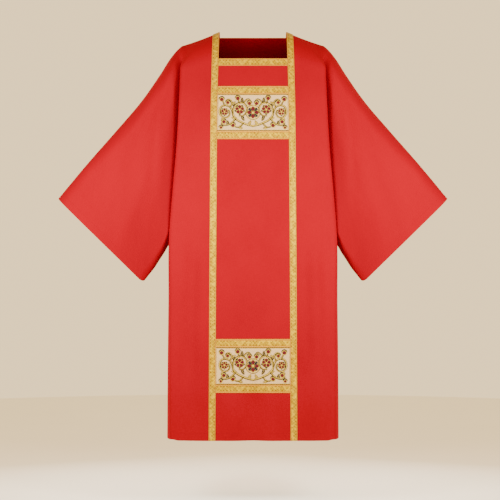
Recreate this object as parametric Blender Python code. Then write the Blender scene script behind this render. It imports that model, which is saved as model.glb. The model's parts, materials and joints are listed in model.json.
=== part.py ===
"""Models a dalmatic, a wide-sleeved church vestment, worn by no one but filled out as if it were.

Metres, +Z up. The garment faces -Y. Its origin is on the shoulder ridge, midway between the
shoulders, and the wearer's left side is at +X. Every piece of cloth is a closed wall. Its outer
points are worked out from the tables of sections below and its inner points lie one thickness
behind them.
"""

import math

import bmesh
import bpy
import numpy as np

# ---- Driving dimensions ---------------------------------------------------------------------

LENGTH = 1.276  # from the shoulder ridge down to the hem
CLOTH_THICKNESS = 0.0015
BRAID_THICKNESS = 0.0011
PANEL_THICKNESS = 0.0010
SEAM_GAP = 0.0003  # between two pieces that are sewn together

RIDGE_DROP = 0.094  # height of the round part of the shoulder, down to the front neckline
NECK_X = 0.105  # half the width of the neck opening
SHOULDER_X = 0.236  # from the middle to the shoulder point, where the sleeve starts
SHOULDER_DIP = 0.0535  # how far the shoulder point lies below the neck
DIP_FADES_AT = 0.35  # drop below which the slope of the shoulders no longer shows
HEM_RISE = 0.0035  # how much higher the hem hangs at its sides
HEM_RISES_FROM = 0.228  # distance from the middle at which its sides start to lift
HEM_RISES_TO = 0.250  # and at which they have
HEM_RISES_AT = 1.126  # drop from which they start to
HEM_RISES_OVER = 0.15  # drop over which they do
UNDERARM_DROP = 0.645
ARCH_HEIGHT = 0.090  # height of the round bottom of the armhole
BACK_ARMHOLE = 0.85  # how far the armhole reaches behind the middle plane, as a share of its front
PINCH_DROP = 0.085  # drop over which the fold at the armhole opens out of the shoulder
TUCK = 0.25  # how far the cloth in that fold turns out again before it meets the seam
TUCK_FADES = 0.06  # height above the underarm over which it stops doing so
SEAM_TURNS = 0.07  # height above the underarm over which the seam turns to face straight out

BRAID_WIDTH = 0.021
NECK_BAND_WIDTH = 0.023
BAND_WIDTH = 0.0263
PANEL_HEIGHT = 0.1135
UPPER_GROUP_DROP = 0.181  # top edge of the upper band
LOWER_GROUP_DROP = 0.963  # top edge of the band above the lower panel
BACK_NECK_ANGLE = math.radians(30)  # back neckline, as an angle round the shoulder's ridge
BACK_BAND_ANGLE = math.radians(46)  # lower edge of the band sewn under the back neckline

# ---- How finely the walls are divided -------------------------------------------------------

RIDGE_ANGLES = np.radians((0, 16, 30, 46, 56, 66, 78, 90))
ARCH_ANGLES = np.radians((0, 22, 44, 66, 90))
LONGEST_ROW = 0.068
MIDDLE_STEPS = 4
RUN_STEPS = 3
CORNER_STEPS = 4
RETURN_STEPS = 4
TINY = 1e-9


def table(names, *rows):
    """A dictionary from each column's name to its values, the first column being the knots."""
    return dict(zip(names.split(), np.array(rows, float).T))


# Horizontal sections of the body. The front and back stand off the shoulder ridge by "front" and
# "back". The cloth runs out flat but for "lean", turns round a corner that is "corner" wide and
# "setback" deep to its widest point at "edge", and comes back in to the seam at half width
# "seam". Down to the underarm that seam is the armhole, "armhole" off the middle plane.
BODY = table(
    "drop    front  back   lean   edge   corner setback seam   armhole",
    (0.000, 0.090, 0.074, 0.002, 0.2250, 0.012, 0.012, 0.2235, 0.080),
    (0.050, 0.094, 0.079, 0.003, 0.2270, 0.012, 0.012, 0.2170, 0.072),
    (0.100, 0.100, 0.085, 0.005, 0.2280, 0.012, 0.013, 0.2100, 0.062),
    (0.200, 0.116, 0.096, 0.007, 0.2305, 0.012, 0.013, 0.2070, 0.055),
    (0.350, 0.131, 0.103, 0.008, 0.2368, 0.012, 0.014, 0.2110, 0.053),
    (0.500, 0.138, 0.104, 0.009, 0.2490, 0.013, 0.014, 0.2220, 0.053),
    (0.645, 0.142, 0.103, 0.010, 0.2602, 0.014, 0.015, 0.2430, 0.053),
    (0.850, 0.147, 0.108, 0.010, 0.2626, 0.014, 0.032, 0.2570, 0.053),
    (1.060, 0.152, 0.117, 0.010, 0.2655, 0.016, 0.052, 0.2615, 0.053),
    (1.276, 0.157, 0.127, 0.010, 0.2675, 0.018, 0.075, 0.2640, 0.053),
)

# The shoulder seam from the neck to the shoulder point, and how far it has come down.
SHOULDER = table(
    "out    dip",
    (NECK_X, 0.0),
    (0.165, 0.0238),
    (0.215, 0.0408),
    (0.225, 0.0440),
    (SHOULDER_X, SHOULDER_DIP),
)

# The inner edge of the long braids, which spread a little on their way down.
BRAID_LINE = table(
    "drop    inner",
    (0.000, NECK_X),
    (0.200, 0.1093),
    (0.600, 0.1125),
    (1.276, 0.1155),
)

# Sections of the sleeve from the armhole to the cuff: the fold along its top, the seam under it,
# how full its front and back are, and the share of that fullness left just above the seam.
SLEEVE = table(
    "share top_x  top_z   under_x under_z front  back   hang  inward",
    (0.00, 0.236, -0.054, 0.2430, -0.645, 0.082, 0.060, 0.84, 0.014),
    (0.12, 0.262, -0.085, 0.2670, -0.674, 0.091, 0.062, 0.80, 0.016),
    (0.25, 0.293, -0.134, 0.2790, -0.695, 0.090, 0.063, 0.70, 0.008),
    (0.40, 0.348, -0.213, 0.2940, -0.718, 0.081, 0.060, 0.54, 0.000),
    (0.60, 0.432, -0.3115, 0.3120, -0.746, 0.066, 0.054, 0.40, 0.000),
    (0.80, 0.526, -0.4185, 0.3310, -0.770, 0.055, 0.048, 0.28, 0.000),
    (1.00, 0.616, -0.5265, 0.3487, -0.7925, 0.046, 0.043, 0.20, 0.000),
)
SLEEVE_SHARES = (0, 0.02, 0.045, 0.08, 0.12, 0.18, 0.25, 0.34, 0.45, 0.58, 0.72, 0.86, 1.0)
MOST_INWARD = 4 / 27  # share * (1 - share) ** 2 at its greatest, a third of the way down
SLEEVE_START = 0.12  # share at which the sleeve has come out of the valley round the armhole
VALLEY_DEPTH = 0.030  # how strongly the cloth keeps its way at the armhole before it turns out
SLEEVE_ROUND = 0.12  # share of a section that the round top takes
SLEEVE_CLOSE = 0.07  # share of a section that closes over the under seam
TIP_CUT = 0.075  # share of the sleeve by which the cuff is rounded off at the seam
TIP_SHARE = 0.045  # share of the cuff, above the seam, over which it is
TIP_POWER = 8  # how closely that rounding keeps to the cuff
SLOPE_STEP = 0.002  # share of the sleeve over which its slope is taken

# Soft hanging folds: the side they lie on (1 front, -1 back), the places of their two ends, the
# half width, and the height, which is negative for a trough.
BODY_FOLDS = (
    # side  x top   z top   x foot  z foot  width   height
    (1, -0.148, -0.600, -0.156, -1.100, 0.019, 0.0080),
    (1, -0.184, -0.560, -0.194, -1.160, 0.021, -0.0100),
    (1, 0.150, -0.560, 0.160, -1.120, 0.019, 0.0080),
    (1, 0.188, -0.580, 0.198, -1.120, 0.020, -0.0100),
    (1, 0.002, -1.060, 0.000, -1.400, 0.028, -0.0090),
    (-1, 0.170, -0.420, 0.186, -1.310, 0.026, -0.0070),
    (-1, -0.162, -0.520, -0.178, -1.330, 0.024, -0.0080),
    (-1, 0.040, -0.300, 0.030, -1.180, 0.036, -0.0050),
    (-1, -0.070, -0.620, -0.062, -1.330, 0.030, 0.0050),
)
FOLDS_END_X = 0.245  # the body's folds stay clear of its corners
FOLDS_FADE = 0.03  # over this width, there and where a sleeve's front and back meet
FOLD_END = 0.3  # share of a fold's length over which each end dies away
SLEEVE_FOLDS = (
    (1, 0.296, -0.180, 0.302, -0.700, 0.022, 0.0060),
    (1, 0.352, -0.260, 0.356, -0.720, 0.026, -0.0060),
    (1, 0.430, -0.330, 0.425, -0.700, 0.030, 0.0040),
    (1, 0.506, -0.410, 0.492, -0.640, 0.026, -0.0030),
    (-1, 0.310, -0.190, 0.300, -0.700, 0.026, 0.0060),
    (-1, 0.385, -0.270, 0.372, -0.720, 0.028, -0.0070),
    (-1, 0.470, -0.370, 0.450, -0.680, 0.030, 0.0040),
)


def smooth(t):
    """0 up to t = 0, 1 from t = 1, and level at both ends."""
    t = np.clip(t, 0.0, 1.0)
    return t * t * (3 - 2 * t)


def hermite(start, start_slope, end, end_slope, t):
    """A cubic from start to end, its slopes given over the whole step."""
    return (
        (2 * t**3 - 3 * t**2 + 1) * start
        + (t**3 - 2 * t**2 + t) * start_slope
        + (3 * t**2 - 2 * t**3) * end
        + (t**3 - t**2) * end_slope
    )


def read(columns, name, at):
    """The named column's value at a place given in the table's knots, on a smooth curve."""
    knots = next(iter(columns.values()))
    values = columns[name]
    slopes = np.gradient(values, knots)
    row = min(max(int(np.searchsorted(knots, at)) - 1, 0), len(knots) - 2)
    step = knots[row + 1] - knots[row]
    t = min(max((at - knots[row]) / step, 0.0), 1.0)
    return hermite(values[row], slopes[row] * step, values[row + 1], slopes[row + 1] * step, t)


def fold_height(folds, side, x, z):
    """How far the soft folds lift the cloth at a place seen from the front."""
    lift = 0.0
    for fold_side, top_x, top_z, foot_x, foot_z, width, height in folds:
        if fold_side != side or not foot_z < z < top_z:
            continue
        share = (top_z - z) / (top_z - foot_z)
        middle = top_x + (foot_x - top_x) * share
        ends = smooth(share / FOLD_END) * smooth((1 - share) / FOLD_END)
        lift += height * ends * math.exp(-(((x - middle) / width) ** 2))
    return lift


# ---- The body's surface ---------------------------------------------------------------------


def ridge(drop):
    """The share of its full depth that the cloth has reached on the round of the shoulder."""
    return math.sqrt(1 - (1 - min(drop / RIDGE_DROP, 1.0)) ** 2)


def ridge_drop(angle):
    return RIDGE_DROP * (1 - math.cos(angle))


def arch(drop):
    """1 along the armhole's sides, closing to 0 round its bottom at the underarm."""
    t = (drop - (UNDERARM_DROP - ARCH_HEIGHT)) / ARCH_HEIGHT
    return math.sqrt(max(1 - max(t, 0.0) ** 2, 0.0))


def dip(x, drop):
    """How far the slope of the shoulders has lowered the cloth, this far out and down."""
    return read(SHOULDER, "dip", abs(x)) * (1 - smooth(drop / DIP_FADES_AT))


def hem_rise(x, drop):
    """How far the hem is lifted towards the sides."""
    across = smooth((x - HEM_RISES_FROM) / (HEM_RISES_TO - HEM_RISES_FROM))
    return HEM_RISE * across * smooth((drop - HEM_RISES_AT) / HEM_RISES_OVER)


def half_section(drop, side):
    """The left half of a section, as points from the middle to the seam."""
    inner = read(BRAID_LINE, "inner", drop)
    outer = inner + BRAID_WIDTH
    stand = read(BODY, "front" if side > 0 else "back", drop)
    lean = read(BODY, "lean", drop)
    edge = read(BODY, "edge", drop)
    corner = read(BODY, "corner", drop)
    setback = read(BODY, "setback", drop)
    seam = read(BODY, "seam", drop)
    armhole = read(BODY, "armhole", drop) * arch(drop) * (1.0 if side > 0 else BACK_ARMHOLE)
    start = edge - corner

    x = list(np.linspace(0, inner, MIDDLE_STEPS + 1))
    depth = [stand] * (MIDDLE_STEPS + 1)
    for t in np.linspace(0, 1, RUN_STEPS + 1):
        x.append(outer + (start - outer) * t)
        depth.append(stand - lean * t**2)
    for angle in np.linspace(0, math.pi / 2, CORNER_STEPS + 1)[1:]:
        x.append(start + corner * math.sin(angle))
        depth.append(stand - lean - setback * (1 - math.cos(angle)))

    widest = depth[-1]
    reach = math.hypot(edge - seam, widest - armhole)
    tuck = TUCK * smooth((UNDERARM_DROP - drop) / TUCK_FADES)
    for t in np.linspace(0, 1, RETURN_STEPS + 1)[1:]:
        x.append(hermite(edge, 0.0, seam, tuck * reach, t))
        depth.append(hermite(widest, -reach, armhole, -reach, t))

    # On the ridge itself the cloth lies straight out to the shoulder point, with no fold.
    folded = smooth(drop / PINCH_DROP)
    straight = [*np.linspace(0, inner, MIDDLE_STEPS + 1)]
    straight += list(np.linspace(outer, SHOULDER_X, len(x) - len(straight)))
    points = []
    reached = 0.0
    for bent, flat, off in zip(x, straight, depth):
        place = flat + (bent - flat) * folded
        reached = max(reached, place)
        z = -drop - dip(reached, drop) + hem_rise(reached, drop)
        points.append((place, -side * ridge(drop) * off, z))
    return np.array(points)


def section(drop, side):
    """A whole section with its soft folds, ordered so that the wall built on it faces out."""
    half = half_section(drop, side)
    points = np.concatenate([half[:0:-1] * (-1, 1, 1), half])[::side]
    for point in points:
        x, _, z = point
        clear = smooth((FOLDS_END_X - abs(x)) / FOLDS_FADE) * ridge(drop)
        point[1] -= side * fold_height(BODY_FOLDS, side, x, z) * clear
    return points


def seam_direction(half, drop):
    """The way across the armhole seam, as the body's cloth arrives there, but out at the underarm."""
    way = 3 * half[-1] - 4 * half[-2] + half[-3]
    way /= np.linalg.norm(way)
    way += (np.array((1.0, 0.0, 0.0)) - way) * smooth(1 - (UNDERARM_DROP - drop) / SEAM_TURNS)
    return way / np.linalg.norm(way)


def divided(stops):
    """The stops with more between them, so that no step is longer than LONGEST_ROW."""
    rows = [stops[0]]
    for low, high in zip(stops, stops[1:]):
        count = math.ceil((high - low) / LONGEST_ROW - TINY)
        rows += list(np.linspace(low, high, count + 1)[1:])
    return rows


def band_edges():
    """The drops at which the bands and panels sewn across the front start and end."""
    edges = [RIDGE_DROP + NECK_BAND_WIDTH]
    for top in (UPPER_GROUP_DROP, LOWER_GROUP_DROP):
        edges += [top, top + BAND_WIDTH, top + BAND_WIDTH + PANEL_HEIGHT]
        edges.append(top + 2 * BAND_WIDTH + PANEL_HEIGHT)
    return edges


ROUND_DROPS = [ridge_drop(angle) for angle in RIDGE_ANGLES]
ARCH_DROPS = [UNDERARM_DROP - ARCH_HEIGHT * (1 - math.sin(a)) for a in ARCH_ANGLES]
FRONT_DROPS = divided(sorted([*ROUND_DROPS, *band_edges(), *ARCH_DROPS, LENGTH]))
BACK_DROPS = divided(sorted([*ROUND_DROPS, *ARCH_DROPS, LENGTH]))
DROPS = {1: FRONT_DROPS, -1: BACK_DROPS}


def body_grid(side):
    """The panel's outer points, a row for each drop, with half a seam's gap at the ridge."""
    grid = np.array([section(drop, side) for drop in DROPS[side]])
    grid[0, :, 1] -= side * SEAM_GAP / 2
    below = [i for i, drop in enumerate(DROPS[side]) if drop >= UNDERARM_DROP - TINY]
    for column in (0, -1):
        grid[below, column, 1] -= side * SEAM_GAP / 2
    return grid


# ---- The sleeve's surface -------------------------------------------------------------------


def fullness(share, hang):
    """The share of a sleeve's fullness at a share of the way from its top fold to its seam."""
    rise = math.sqrt(max(1 - max(1 - share / SLEEVE_ROUND, 0.0) ** 2, 0.0))
    fall = 1 - (1 - hang) * smooth((share - SLEEVE_ROUND) / (1 - SLEEVE_ROUND))
    close = max((share - (1 - SLEEVE_CLOSE)) / SLEEVE_CLOSE, 0.0)
    return rise * fall * math.sqrt(max(1 - close**2, 0.0))


def free_sleeve(along, share, side):
    """A point of the sleeve well clear of the armhole."""
    tip = max(1 - (1 - share) / TIP_SHARE, 0.0)
    along -= TIP_CUT * (1 - math.sqrt(max(1 - tip**2, 0.0))) * along**TIP_POWER
    values = {name: read(SLEEVE, name, along) for name in SLEEVE}
    x = values["top_x"] + (values["under_x"] - values["top_x"]) * share
    x -= values["inward"] * share * (1 - share) ** 2 / MOST_INWARD
    z = values["top_z"] + (values["under_z"] - values["top_z"]) * share
    full = values["front" if side > 0 else "back"]
    off = full * fullness(share, values["hang"])
    off += fold_height(SLEEVE_FOLDS, side, x, z) * smooth(off / FOLDS_FADE)
    return np.array((x, -side * off, z))


def armhole():
    """The armhole's ring: a row of (start, way out of it, side, share down the sleeve) a point."""
    front = [(drop, 1) for drop in FRONT_DROPS if drop <= UNDERARM_DROP + TINY]
    back = [(drop, -1) for drop in BACK_DROPS if 0 < drop < UNDERARM_DROP - TINY]
    places = front + back[::-1]
    halves = [half_section(drop, side) for drop, side in places]
    ring = np.array([half[-1] for half in halves])
    ways = np.array([seam_direction(half, drop) for half, (drop, _) in zip(halves, places)])
    seam = np.roll(ring, -1, axis=0) - np.roll(ring, 1, axis=0)
    seam /= np.linalg.norm(seam, axis=1, keepdims=True)
    ways -= (ways * seam).sum(axis=1, keepdims=True) * seam
    ways /= np.linalg.norm(ways, axis=1, keepdims=True)
    shares = (-SHOULDER_DIP - ring[:, 2]) / (UNDERARM_DROP - SHOULDER_DIP)
    return list(zip(ring + ways * SEAM_GAP, ways, [side for _, side in places], shares))


def sleeve_point(along, start, way, side, share):
    """A point on the line that leaves the armhole at start, at a share of the way to the cuff."""
    if along >= SLEEVE_START:
        return free_sleeve(along, share, side)
    end = free_sleeve(SLEEVE_START, share, side)
    onward = free_sleeve(SLEEVE_START + SLOPE_STEP, share, side) - end
    slope = onward / SLOPE_STEP * SLEEVE_START
    return hermite(start, way * VALLEY_DEPTH, end, slope, along / SLEEVE_START)


def sleeve_grid(mirror):
    """The sleeve's outer points, a row for each ring from the armhole to the cuff."""
    ring = armhole()
    grid = np.array([[sleeve_point(along, *place) for place in ring] for along in SLEEVE_SHARES])
    return grid * (-1, 1, 1) if mirror else grid[:, ::-1]


# ---- Walls ----------------------------------------------------------------------------------


def outward(points, around):
    """Unit normals of a grid of outer points."""
    padded = points
    if around:
        padded = np.concatenate([points[:, -1:], points, points[:, :1]], axis=1)
    down = np.gradient(padded, axis=0, edge_order=2 if len(points) > 2 else 1)
    across = np.gradient(padded, axis=1, edge_order=2 if padded.shape[1] > 2 else 1)
    normals = np.cross(down, across)
    normals /= np.linalg.norm(normals, axis=2, keepdims=True)
    return normals[:, 1:-1] if around else normals


def wall(name, points, thickness, material, around=False, leave_out=lambda row, column: False):
    """A closed wall on a grid of outer points, with the cells that leave_out names cut away."""
    inside = points - outward(points, around) * thickness
    rows, columns = points.shape[:2]
    bm = bmesh.new()
    skins = {}

    def vertex(skin, row, column):
        key = (skin, row, column % columns)
        if key not in skins:
            place = (points, inside)[skin][row, column % columns]
            skins[key] = bm.verts.new(place)
        return skins[key]

    edges = set()
    for row in range(rows - 1):
        for column in range(columns if around else columns - 1):
            if leave_out(row, column):
                continue
            ring = [(row, column), (row + 1, column), (row + 1, column + 1), (row, column + 1)]
            ring = [(r, c % columns) for r, c in ring]
            bm.faces.new([vertex(0, *corner) for corner in ring])
            bm.faces.new([vertex(1, *corner) for corner in (ring[0], *ring[:0:-1])])
            edges |= set(zip(ring, ring[1:] + ring[:1]))
    for start, end in sorted(edges):
        if (end, start) not in edges:
            rim = [vertex(0, *end), vertex(0, *start), vertex(1, *start), vertex(1, *end)]
            # Both sides of a seam split a twisted rim face from its higher outer corner.
            first = 1 if points[start][2] > points[end][2] else 0
            bm.faces.new(rim[first:] + rim[:first])

    mesh = bpy.data.meshes.new(name)
    bm.to_mesh(mesh)
    bm.free()
    mesh.shade_smooth()
    mesh.set_sharp_from_angle(angle=math.radians(50))
    mesh.materials.append(material)
    piece = bpy.data.objects.new(name, mesh)
    bpy.context.scene.collection.objects.link(piece)
    return piece


def make_material(name, colour, roughness, metallic=0.0):
    material = bpy.data.materials.new(name)
    material.use_nodes = True
    shader = material.node_tree.nodes["Principled BSDF"]
    shader.inputs["Base Color"].default_value = (*colour, 1.0)
    shader.inputs["Roughness"].default_value = roughness
    shader.inputs["Metallic"].default_value = metallic
    return material


# ---- What is sewn on ------------------------------------------------------------------------


def laid_on(points, thickness):
    """The outer points of a piece laid on a panel's own outer points."""
    return points + outward(points, False) * (SEAM_GAP + thickness)


def front_strip(side, drops, lines):
    """Points of a panel at the given drops, along lines given as functions of the drop."""
    rows = []
    for drop in drops:
        row = []
        for line in lines:
            x = line(drop)
            z = -drop - dip(x, drop)
            stand = read(BODY, "front" if side > 0 else "back", drop)
            off = (stand + fold_height(BODY_FOLDS, side, x, z)) * ridge(drop)
            row.append((x, -side * off, z))
        rows.append(row)
    return np.array(rows)


def braid_line(sign, share):
    """A line down a long braid, 0 its inner edge and 1 its outer, on one side of the middle."""
    return lambda drop: sign * (read(BRAID_LINE, "inner", drop) + BRAID_WIDTH * share)


def middle_lines(inset):
    """The lines of the panel's own columns between the two long braids, left to right."""
    def line(share):
        return lambda drop: share * (read(BRAID_LINE, "inner", drop) - inset)

    return [line(share) for share in np.linspace(-1, 1, 2 * MIDDLE_STEPS + 1)]


def long_braid(name, sign, material):
    """From the front hem over the shoulder to the back hem."""
    lines = [braid_line(sign, share) for share in (0, 1)]
    if sign < 0:
        lines.reverse()
    front = front_strip(1, FRONT_DROPS, lines)
    back = front_strip(-1, BACK_DROPS[1:], lines)
    points = np.concatenate([back[::-1], front])
    return wall(name, laid_on(points, BRAID_THICKNESS), BRAID_THICKNESS, material)


def cross_piece(name, side, top, bottom, thickness, material):
    """A piece sewn across between the long braids, between two drops."""
    inset = SEAM_GAP / 2
    drops = [top + inset, *(d for d in DROPS[side] if top + inset < d < bottom - inset), bottom - inset]
    points = front_strip(side, drops, middle_lines(SEAM_GAP)[::side])
    return wall(name, laid_on(points, thickness), thickness, material)


def panel_group(place, top, braid, ground):
    """An embroidered panel between two bands."""
    upper = top + BAND_WIDTH
    lower = upper + PANEL_HEIGHT
    cross_piece(f"band_above_{place}_panel", 1, top, upper, BRAID_THICKNESS, braid)
    cross_piece(f"{place}_panel", 1, upper, lower, PANEL_THICKNESS, ground)
    cross_piece(f"band_below_{place}_panel", 1, lower, lower + BAND_WIDTH, BRAID_THICKNESS, braid)


# ---- The garment ----------------------------------------------------------------------------


def body_panel(name, side, neck_drop, material):
    """Front or back, with its neckline cut square between the long braids."""
    grid = body_grid(side)
    middle = grid.shape[1] // 2

    def in_the_neck(row, column):
        above = DROPS[side][row + 1] <= neck_drop + TINY
        return above and middle - MIDDLE_STEPS <= column < middle + MIDDLE_STEPS

    return wall(name, grid, CLOTH_THICKNESS, material, leave_out=in_the_neck)


def clear_scene():
    for old in list(bpy.data.objects):
        bpy.data.objects.remove(old)


def main():
    clear_scene()
    red = make_material("red_cloth", (0.74, 0.045, 0.035), 0.72)
    gold = make_material("gold_braid", (0.84, 0.55, 0.10), 0.45, 0.35)
    cream = make_material("cream_ground", (0.75, 0.65, 0.52), 0.70)

    back_neck = ridge_drop(BACK_NECK_ANGLE)
    body_panel("front", 1, RIDGE_DROP, red)
    body_panel("back", -1, back_neck, red)
    wall("left_sleeve", sleeve_grid(False), CLOTH_THICKNESS, red, around=True)
    wall("right_sleeve", sleeve_grid(True), CLOTH_THICKNESS, red, around=True)

    long_braid("left_braid", 1, gold)
    long_braid("right_braid", -1, gold)
    front_band_end = RIDGE_DROP + NECK_BAND_WIDTH
    cross_piece("front_neck_band", 1, RIDGE_DROP, front_band_end, BRAID_THICKNESS, gold)
    back_band_end = ridge_drop(BACK_BAND_ANGLE)
    cross_piece("back_neck_band", -1, back_neck, back_band_end, BRAID_THICKNESS, gold)
    panel_group("upper", UPPER_GROUP_DROP, gold, cream)
    panel_group("lower", LOWER_GROUP_DROP, gold, cream)


main()
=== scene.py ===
"""Dresses a dalmatic: red cloth in soft folds, gold braid, embroidered panels, hems and stitching.

Metres, +Z up, in the packed model's frame. The garment faces -Y and the wearer's left side is at
+X. Each cloth piece is a thin shell on the form of the packed wall that it stands for. A "drop" is
a depth below the shoulder ridge, and "side" is 1 on the front and -1 on the back.
"""

import json
import math

import bpy
import numpy as np
from bpy.props import FloatProperty, FloatVectorProperty, PointerProperty
from bpy.types import Operator, Panel, PropertyGroup
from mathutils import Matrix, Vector

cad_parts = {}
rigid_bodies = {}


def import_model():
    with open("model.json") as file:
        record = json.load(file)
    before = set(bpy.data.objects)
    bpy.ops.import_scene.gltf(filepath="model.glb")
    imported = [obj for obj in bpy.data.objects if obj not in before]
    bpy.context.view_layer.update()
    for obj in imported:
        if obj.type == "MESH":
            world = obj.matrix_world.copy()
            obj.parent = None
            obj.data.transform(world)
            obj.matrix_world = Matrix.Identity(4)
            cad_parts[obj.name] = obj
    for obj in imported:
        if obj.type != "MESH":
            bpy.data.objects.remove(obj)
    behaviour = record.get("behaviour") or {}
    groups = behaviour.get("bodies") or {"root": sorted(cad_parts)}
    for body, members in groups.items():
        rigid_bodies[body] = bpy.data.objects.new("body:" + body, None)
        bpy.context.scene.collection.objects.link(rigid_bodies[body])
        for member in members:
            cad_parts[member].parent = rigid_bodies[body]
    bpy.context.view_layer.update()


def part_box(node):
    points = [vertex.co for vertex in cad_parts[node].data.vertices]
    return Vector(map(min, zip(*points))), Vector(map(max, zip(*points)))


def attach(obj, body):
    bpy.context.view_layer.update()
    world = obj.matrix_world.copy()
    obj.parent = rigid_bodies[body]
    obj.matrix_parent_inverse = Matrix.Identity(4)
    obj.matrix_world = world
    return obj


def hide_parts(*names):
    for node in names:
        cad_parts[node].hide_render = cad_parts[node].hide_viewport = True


bl_info = {
    "name": "Dalmatic",
    "version": (1, 0, 0),
    "blender": (4, 5, 0),
    "location": "3D View > Sidebar > Dalmatic",
    "description": "Dresses a packed dalmatic in red cloth, gold braid and embroidery",
    "category": "Add Mesh",
}

for startup_object in list(bpy.data.objects):
    bpy.data.objects.remove(startup_object)
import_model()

# ---- Sizes of the cut -----------------------------------------------------------------------

LENGTH = round(-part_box("front")[0].z, 3)  # from the shoulder ridge down to the hem
NECK_X = round(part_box("left_braid")[0].x, 3)  # half the width of the neck opening
CLOTH_THICKNESS = 0.0012
BRAID_THICKNESS = 0.0011
GROUND_THICKNESS = 0.0010
SEAM_GAP = 0.0003  # between layers that lie on each other
SEWN_GAP = 0.00004  # between edges that are sewn together

RIDGE_DROP = 0.094  # height of the round part of the shoulder, down to the front neckline
SHOULDER_X = 0.236  # from the middle to the shoulder point, where the sleeve starts
SHOULDER_DIP = 0.0535  # how far the shoulder point lies below the neck
DIP_FADES_AT = 0.35  # drop at which the cloth hangs level again
HEM_RISE = 0.0035  # how much higher the hem hangs at its sides
HEM_RISES_FROM = 0.228  # from this far out
HEM_RISES_TO = 0.250
HEM_RISES_AT = 1.126  # and from this far down
HEM_RISES_OVER = 0.15
UNDERARM_DROP = 0.645
ARCH_HEIGHT = 0.090  # height of the round bottom of the armhole
BACK_ARMHOLE = 0.85  # how far the armhole's edge stands off behind, as a share of the front's
PINCH_DROP = 0.085  # drop over which the fold at the armhole opens out of the shoulder
TUCK = 0.25  # how far the cloth turns out again at the armhole seam, to meet the sleeve
TUCK_FADES = 0.06  # height above the underarm over which that turn fades
SEAM_TURNS = 0.07  # height above the underarm over which the sleeve comes to start straight out

BRAID_WIDTH = 0.021
NECK_BAND_WIDTH = 0.023
BAND_WIDTH = 0.0263
PANEL_HEIGHT = 0.1135
UPPER_GROUP_DROP = 0.181  # drop at the top of the band above the upper panel
LOWER_GROUP_DROP = 0.963
BACK_NECK_DROP = RIDGE_DROP * (1 - math.cos(math.radians(30)))
BACK_BAND_DROP = RIDGE_DROP * (1 - math.cos(math.radians(46)))
HEM_DEPTH = 0.025  # cloth turned up inside the hem and the cuffs

# ---- How finely the cloth is divided --------------------------------------------------------

RIDGE_ANGLES = np.radians((0, 5, 11, 17, 23.5, 30, 38, 46, 53, 60, 67.5, 75, 82.5, 90))
ARCH_ANGLES = np.radians(np.linspace(0, 90, 17))
LONGEST_ROW = 0.0065
MIDDLE_STEPS = 20  # from the middle to the braid
BRAID_STEPS = 4  # under the braid
RUN_STEPS = 22  # from the braid to the side
CORNER_STEPS = 9  # round the side
RETURN_STEPS = 14  # from the side back to the seam
VALLEY_ROWS = 15  # from the armhole's seam to the free sleeve
SLEEVE_ROWS = 72
BRAID_STEP = 0.0020  # along the braid
RUN_SAMPLES = (200, 900)  # for the braid's length, on the round of the shoulder and below it
PANEL_SAMPLES = (40, 73)  # down and across
EDGE_SAMPLES = (120, 46)  # of a line along a panel's top and down its side
BAND_SAMPLES = 60  # of the line that a band is sewn along
NORMAL_STEP = 0.001  # from a place on the body to those that its slope is taken from
SHARP_ANGLE = math.radians(55)
TINY = 1e-9


def table(names, *rows):
    """A dictionary from each column's name to its values, the first column being the knots."""
    return dict(zip(names.split(), np.array(rows, float).T))


# Horizontal sections of the body, as in the packed model.
BODY = table(
    "drop    front  back   lean   edge   corner setback seam   armhole",
    (0.000, 0.090, 0.074, 0.002, 0.2250, 0.012, 0.012, 0.2235, 0.080),
    (0.050, 0.094, 0.079, 0.003, 0.2270, 0.012, 0.012, 0.2170, 0.072),
    (0.100, 0.100, 0.085, 0.005, 0.2280, 0.012, 0.013, 0.2100, 0.062),
    (0.200, 0.116, 0.096, 0.007, 0.2305, 0.012, 0.013, 0.2070, 0.055),
    (0.350, 0.131, 0.103, 0.008, 0.2368, 0.012, 0.014, 0.2110, 0.053),
    (0.500, 0.138, 0.104, 0.009, 0.2490, 0.013, 0.014, 0.2220, 0.053),
    (0.645, 0.142, 0.103, 0.010, 0.2602, 0.014, 0.015, 0.2430, 0.053),
    (0.850, 0.147, 0.108, 0.010, 0.2626, 0.014, 0.032, 0.2570, 0.053),
    (1.060, 0.152, 0.117, 0.010, 0.2655, 0.016, 0.052, 0.2615, 0.053),
    (1.276, 0.157, 0.127, 0.010, 0.2675, 0.018, 0.075, 0.2640, 0.053),
)

SHOULDER = table(
    "out    dip",
    (NECK_X, 0.0),
    (0.165, 0.0238),
    (0.215, 0.0408),
    (0.225, 0.0440),
    (SHOULDER_X, SHOULDER_DIP),
)

BRAID_LINE = table(
    "drop    inner",
    (0.000, NECK_X),
    (0.200, 0.1093),
    (0.600, 0.1125),
    (1.276, 0.1155),
)

SLEEVE = table(
    "share top_x  top_z   under_x under_z front  back   hang  inward",
    (0.00, 0.236, -0.054, 0.2430, -0.645, 0.082, 0.060, 0.84, 0.014),
    (0.12, 0.262, -0.085, 0.2670, -0.674, 0.091, 0.062, 0.80, 0.016),
    (0.25, 0.293, -0.134, 0.2790, -0.695, 0.090, 0.063, 0.70, 0.008),
    (0.40, 0.348, -0.213, 0.2940, -0.718, 0.081, 0.060, 0.54, 0.000),
    (0.60, 0.432, -0.3115, 0.3120, -0.746, 0.066, 0.054, 0.40, 0.000),
    (0.80, 0.526, -0.4185, 0.3310, -0.770, 0.055, 0.048, 0.28, 0.000),
    (1.00, 0.616, -0.5265, 0.3487, -0.7925, 0.046, 0.043, 0.20, 0.000),
)
MOST_INWARD = 4 / 27  # the greatest value of t * (1 - t)**2
SLEEVE_START = 0.12  # share of the sleeve's length that the valley at the armhole takes
VALLEY_DEPTH = 0.030
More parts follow.
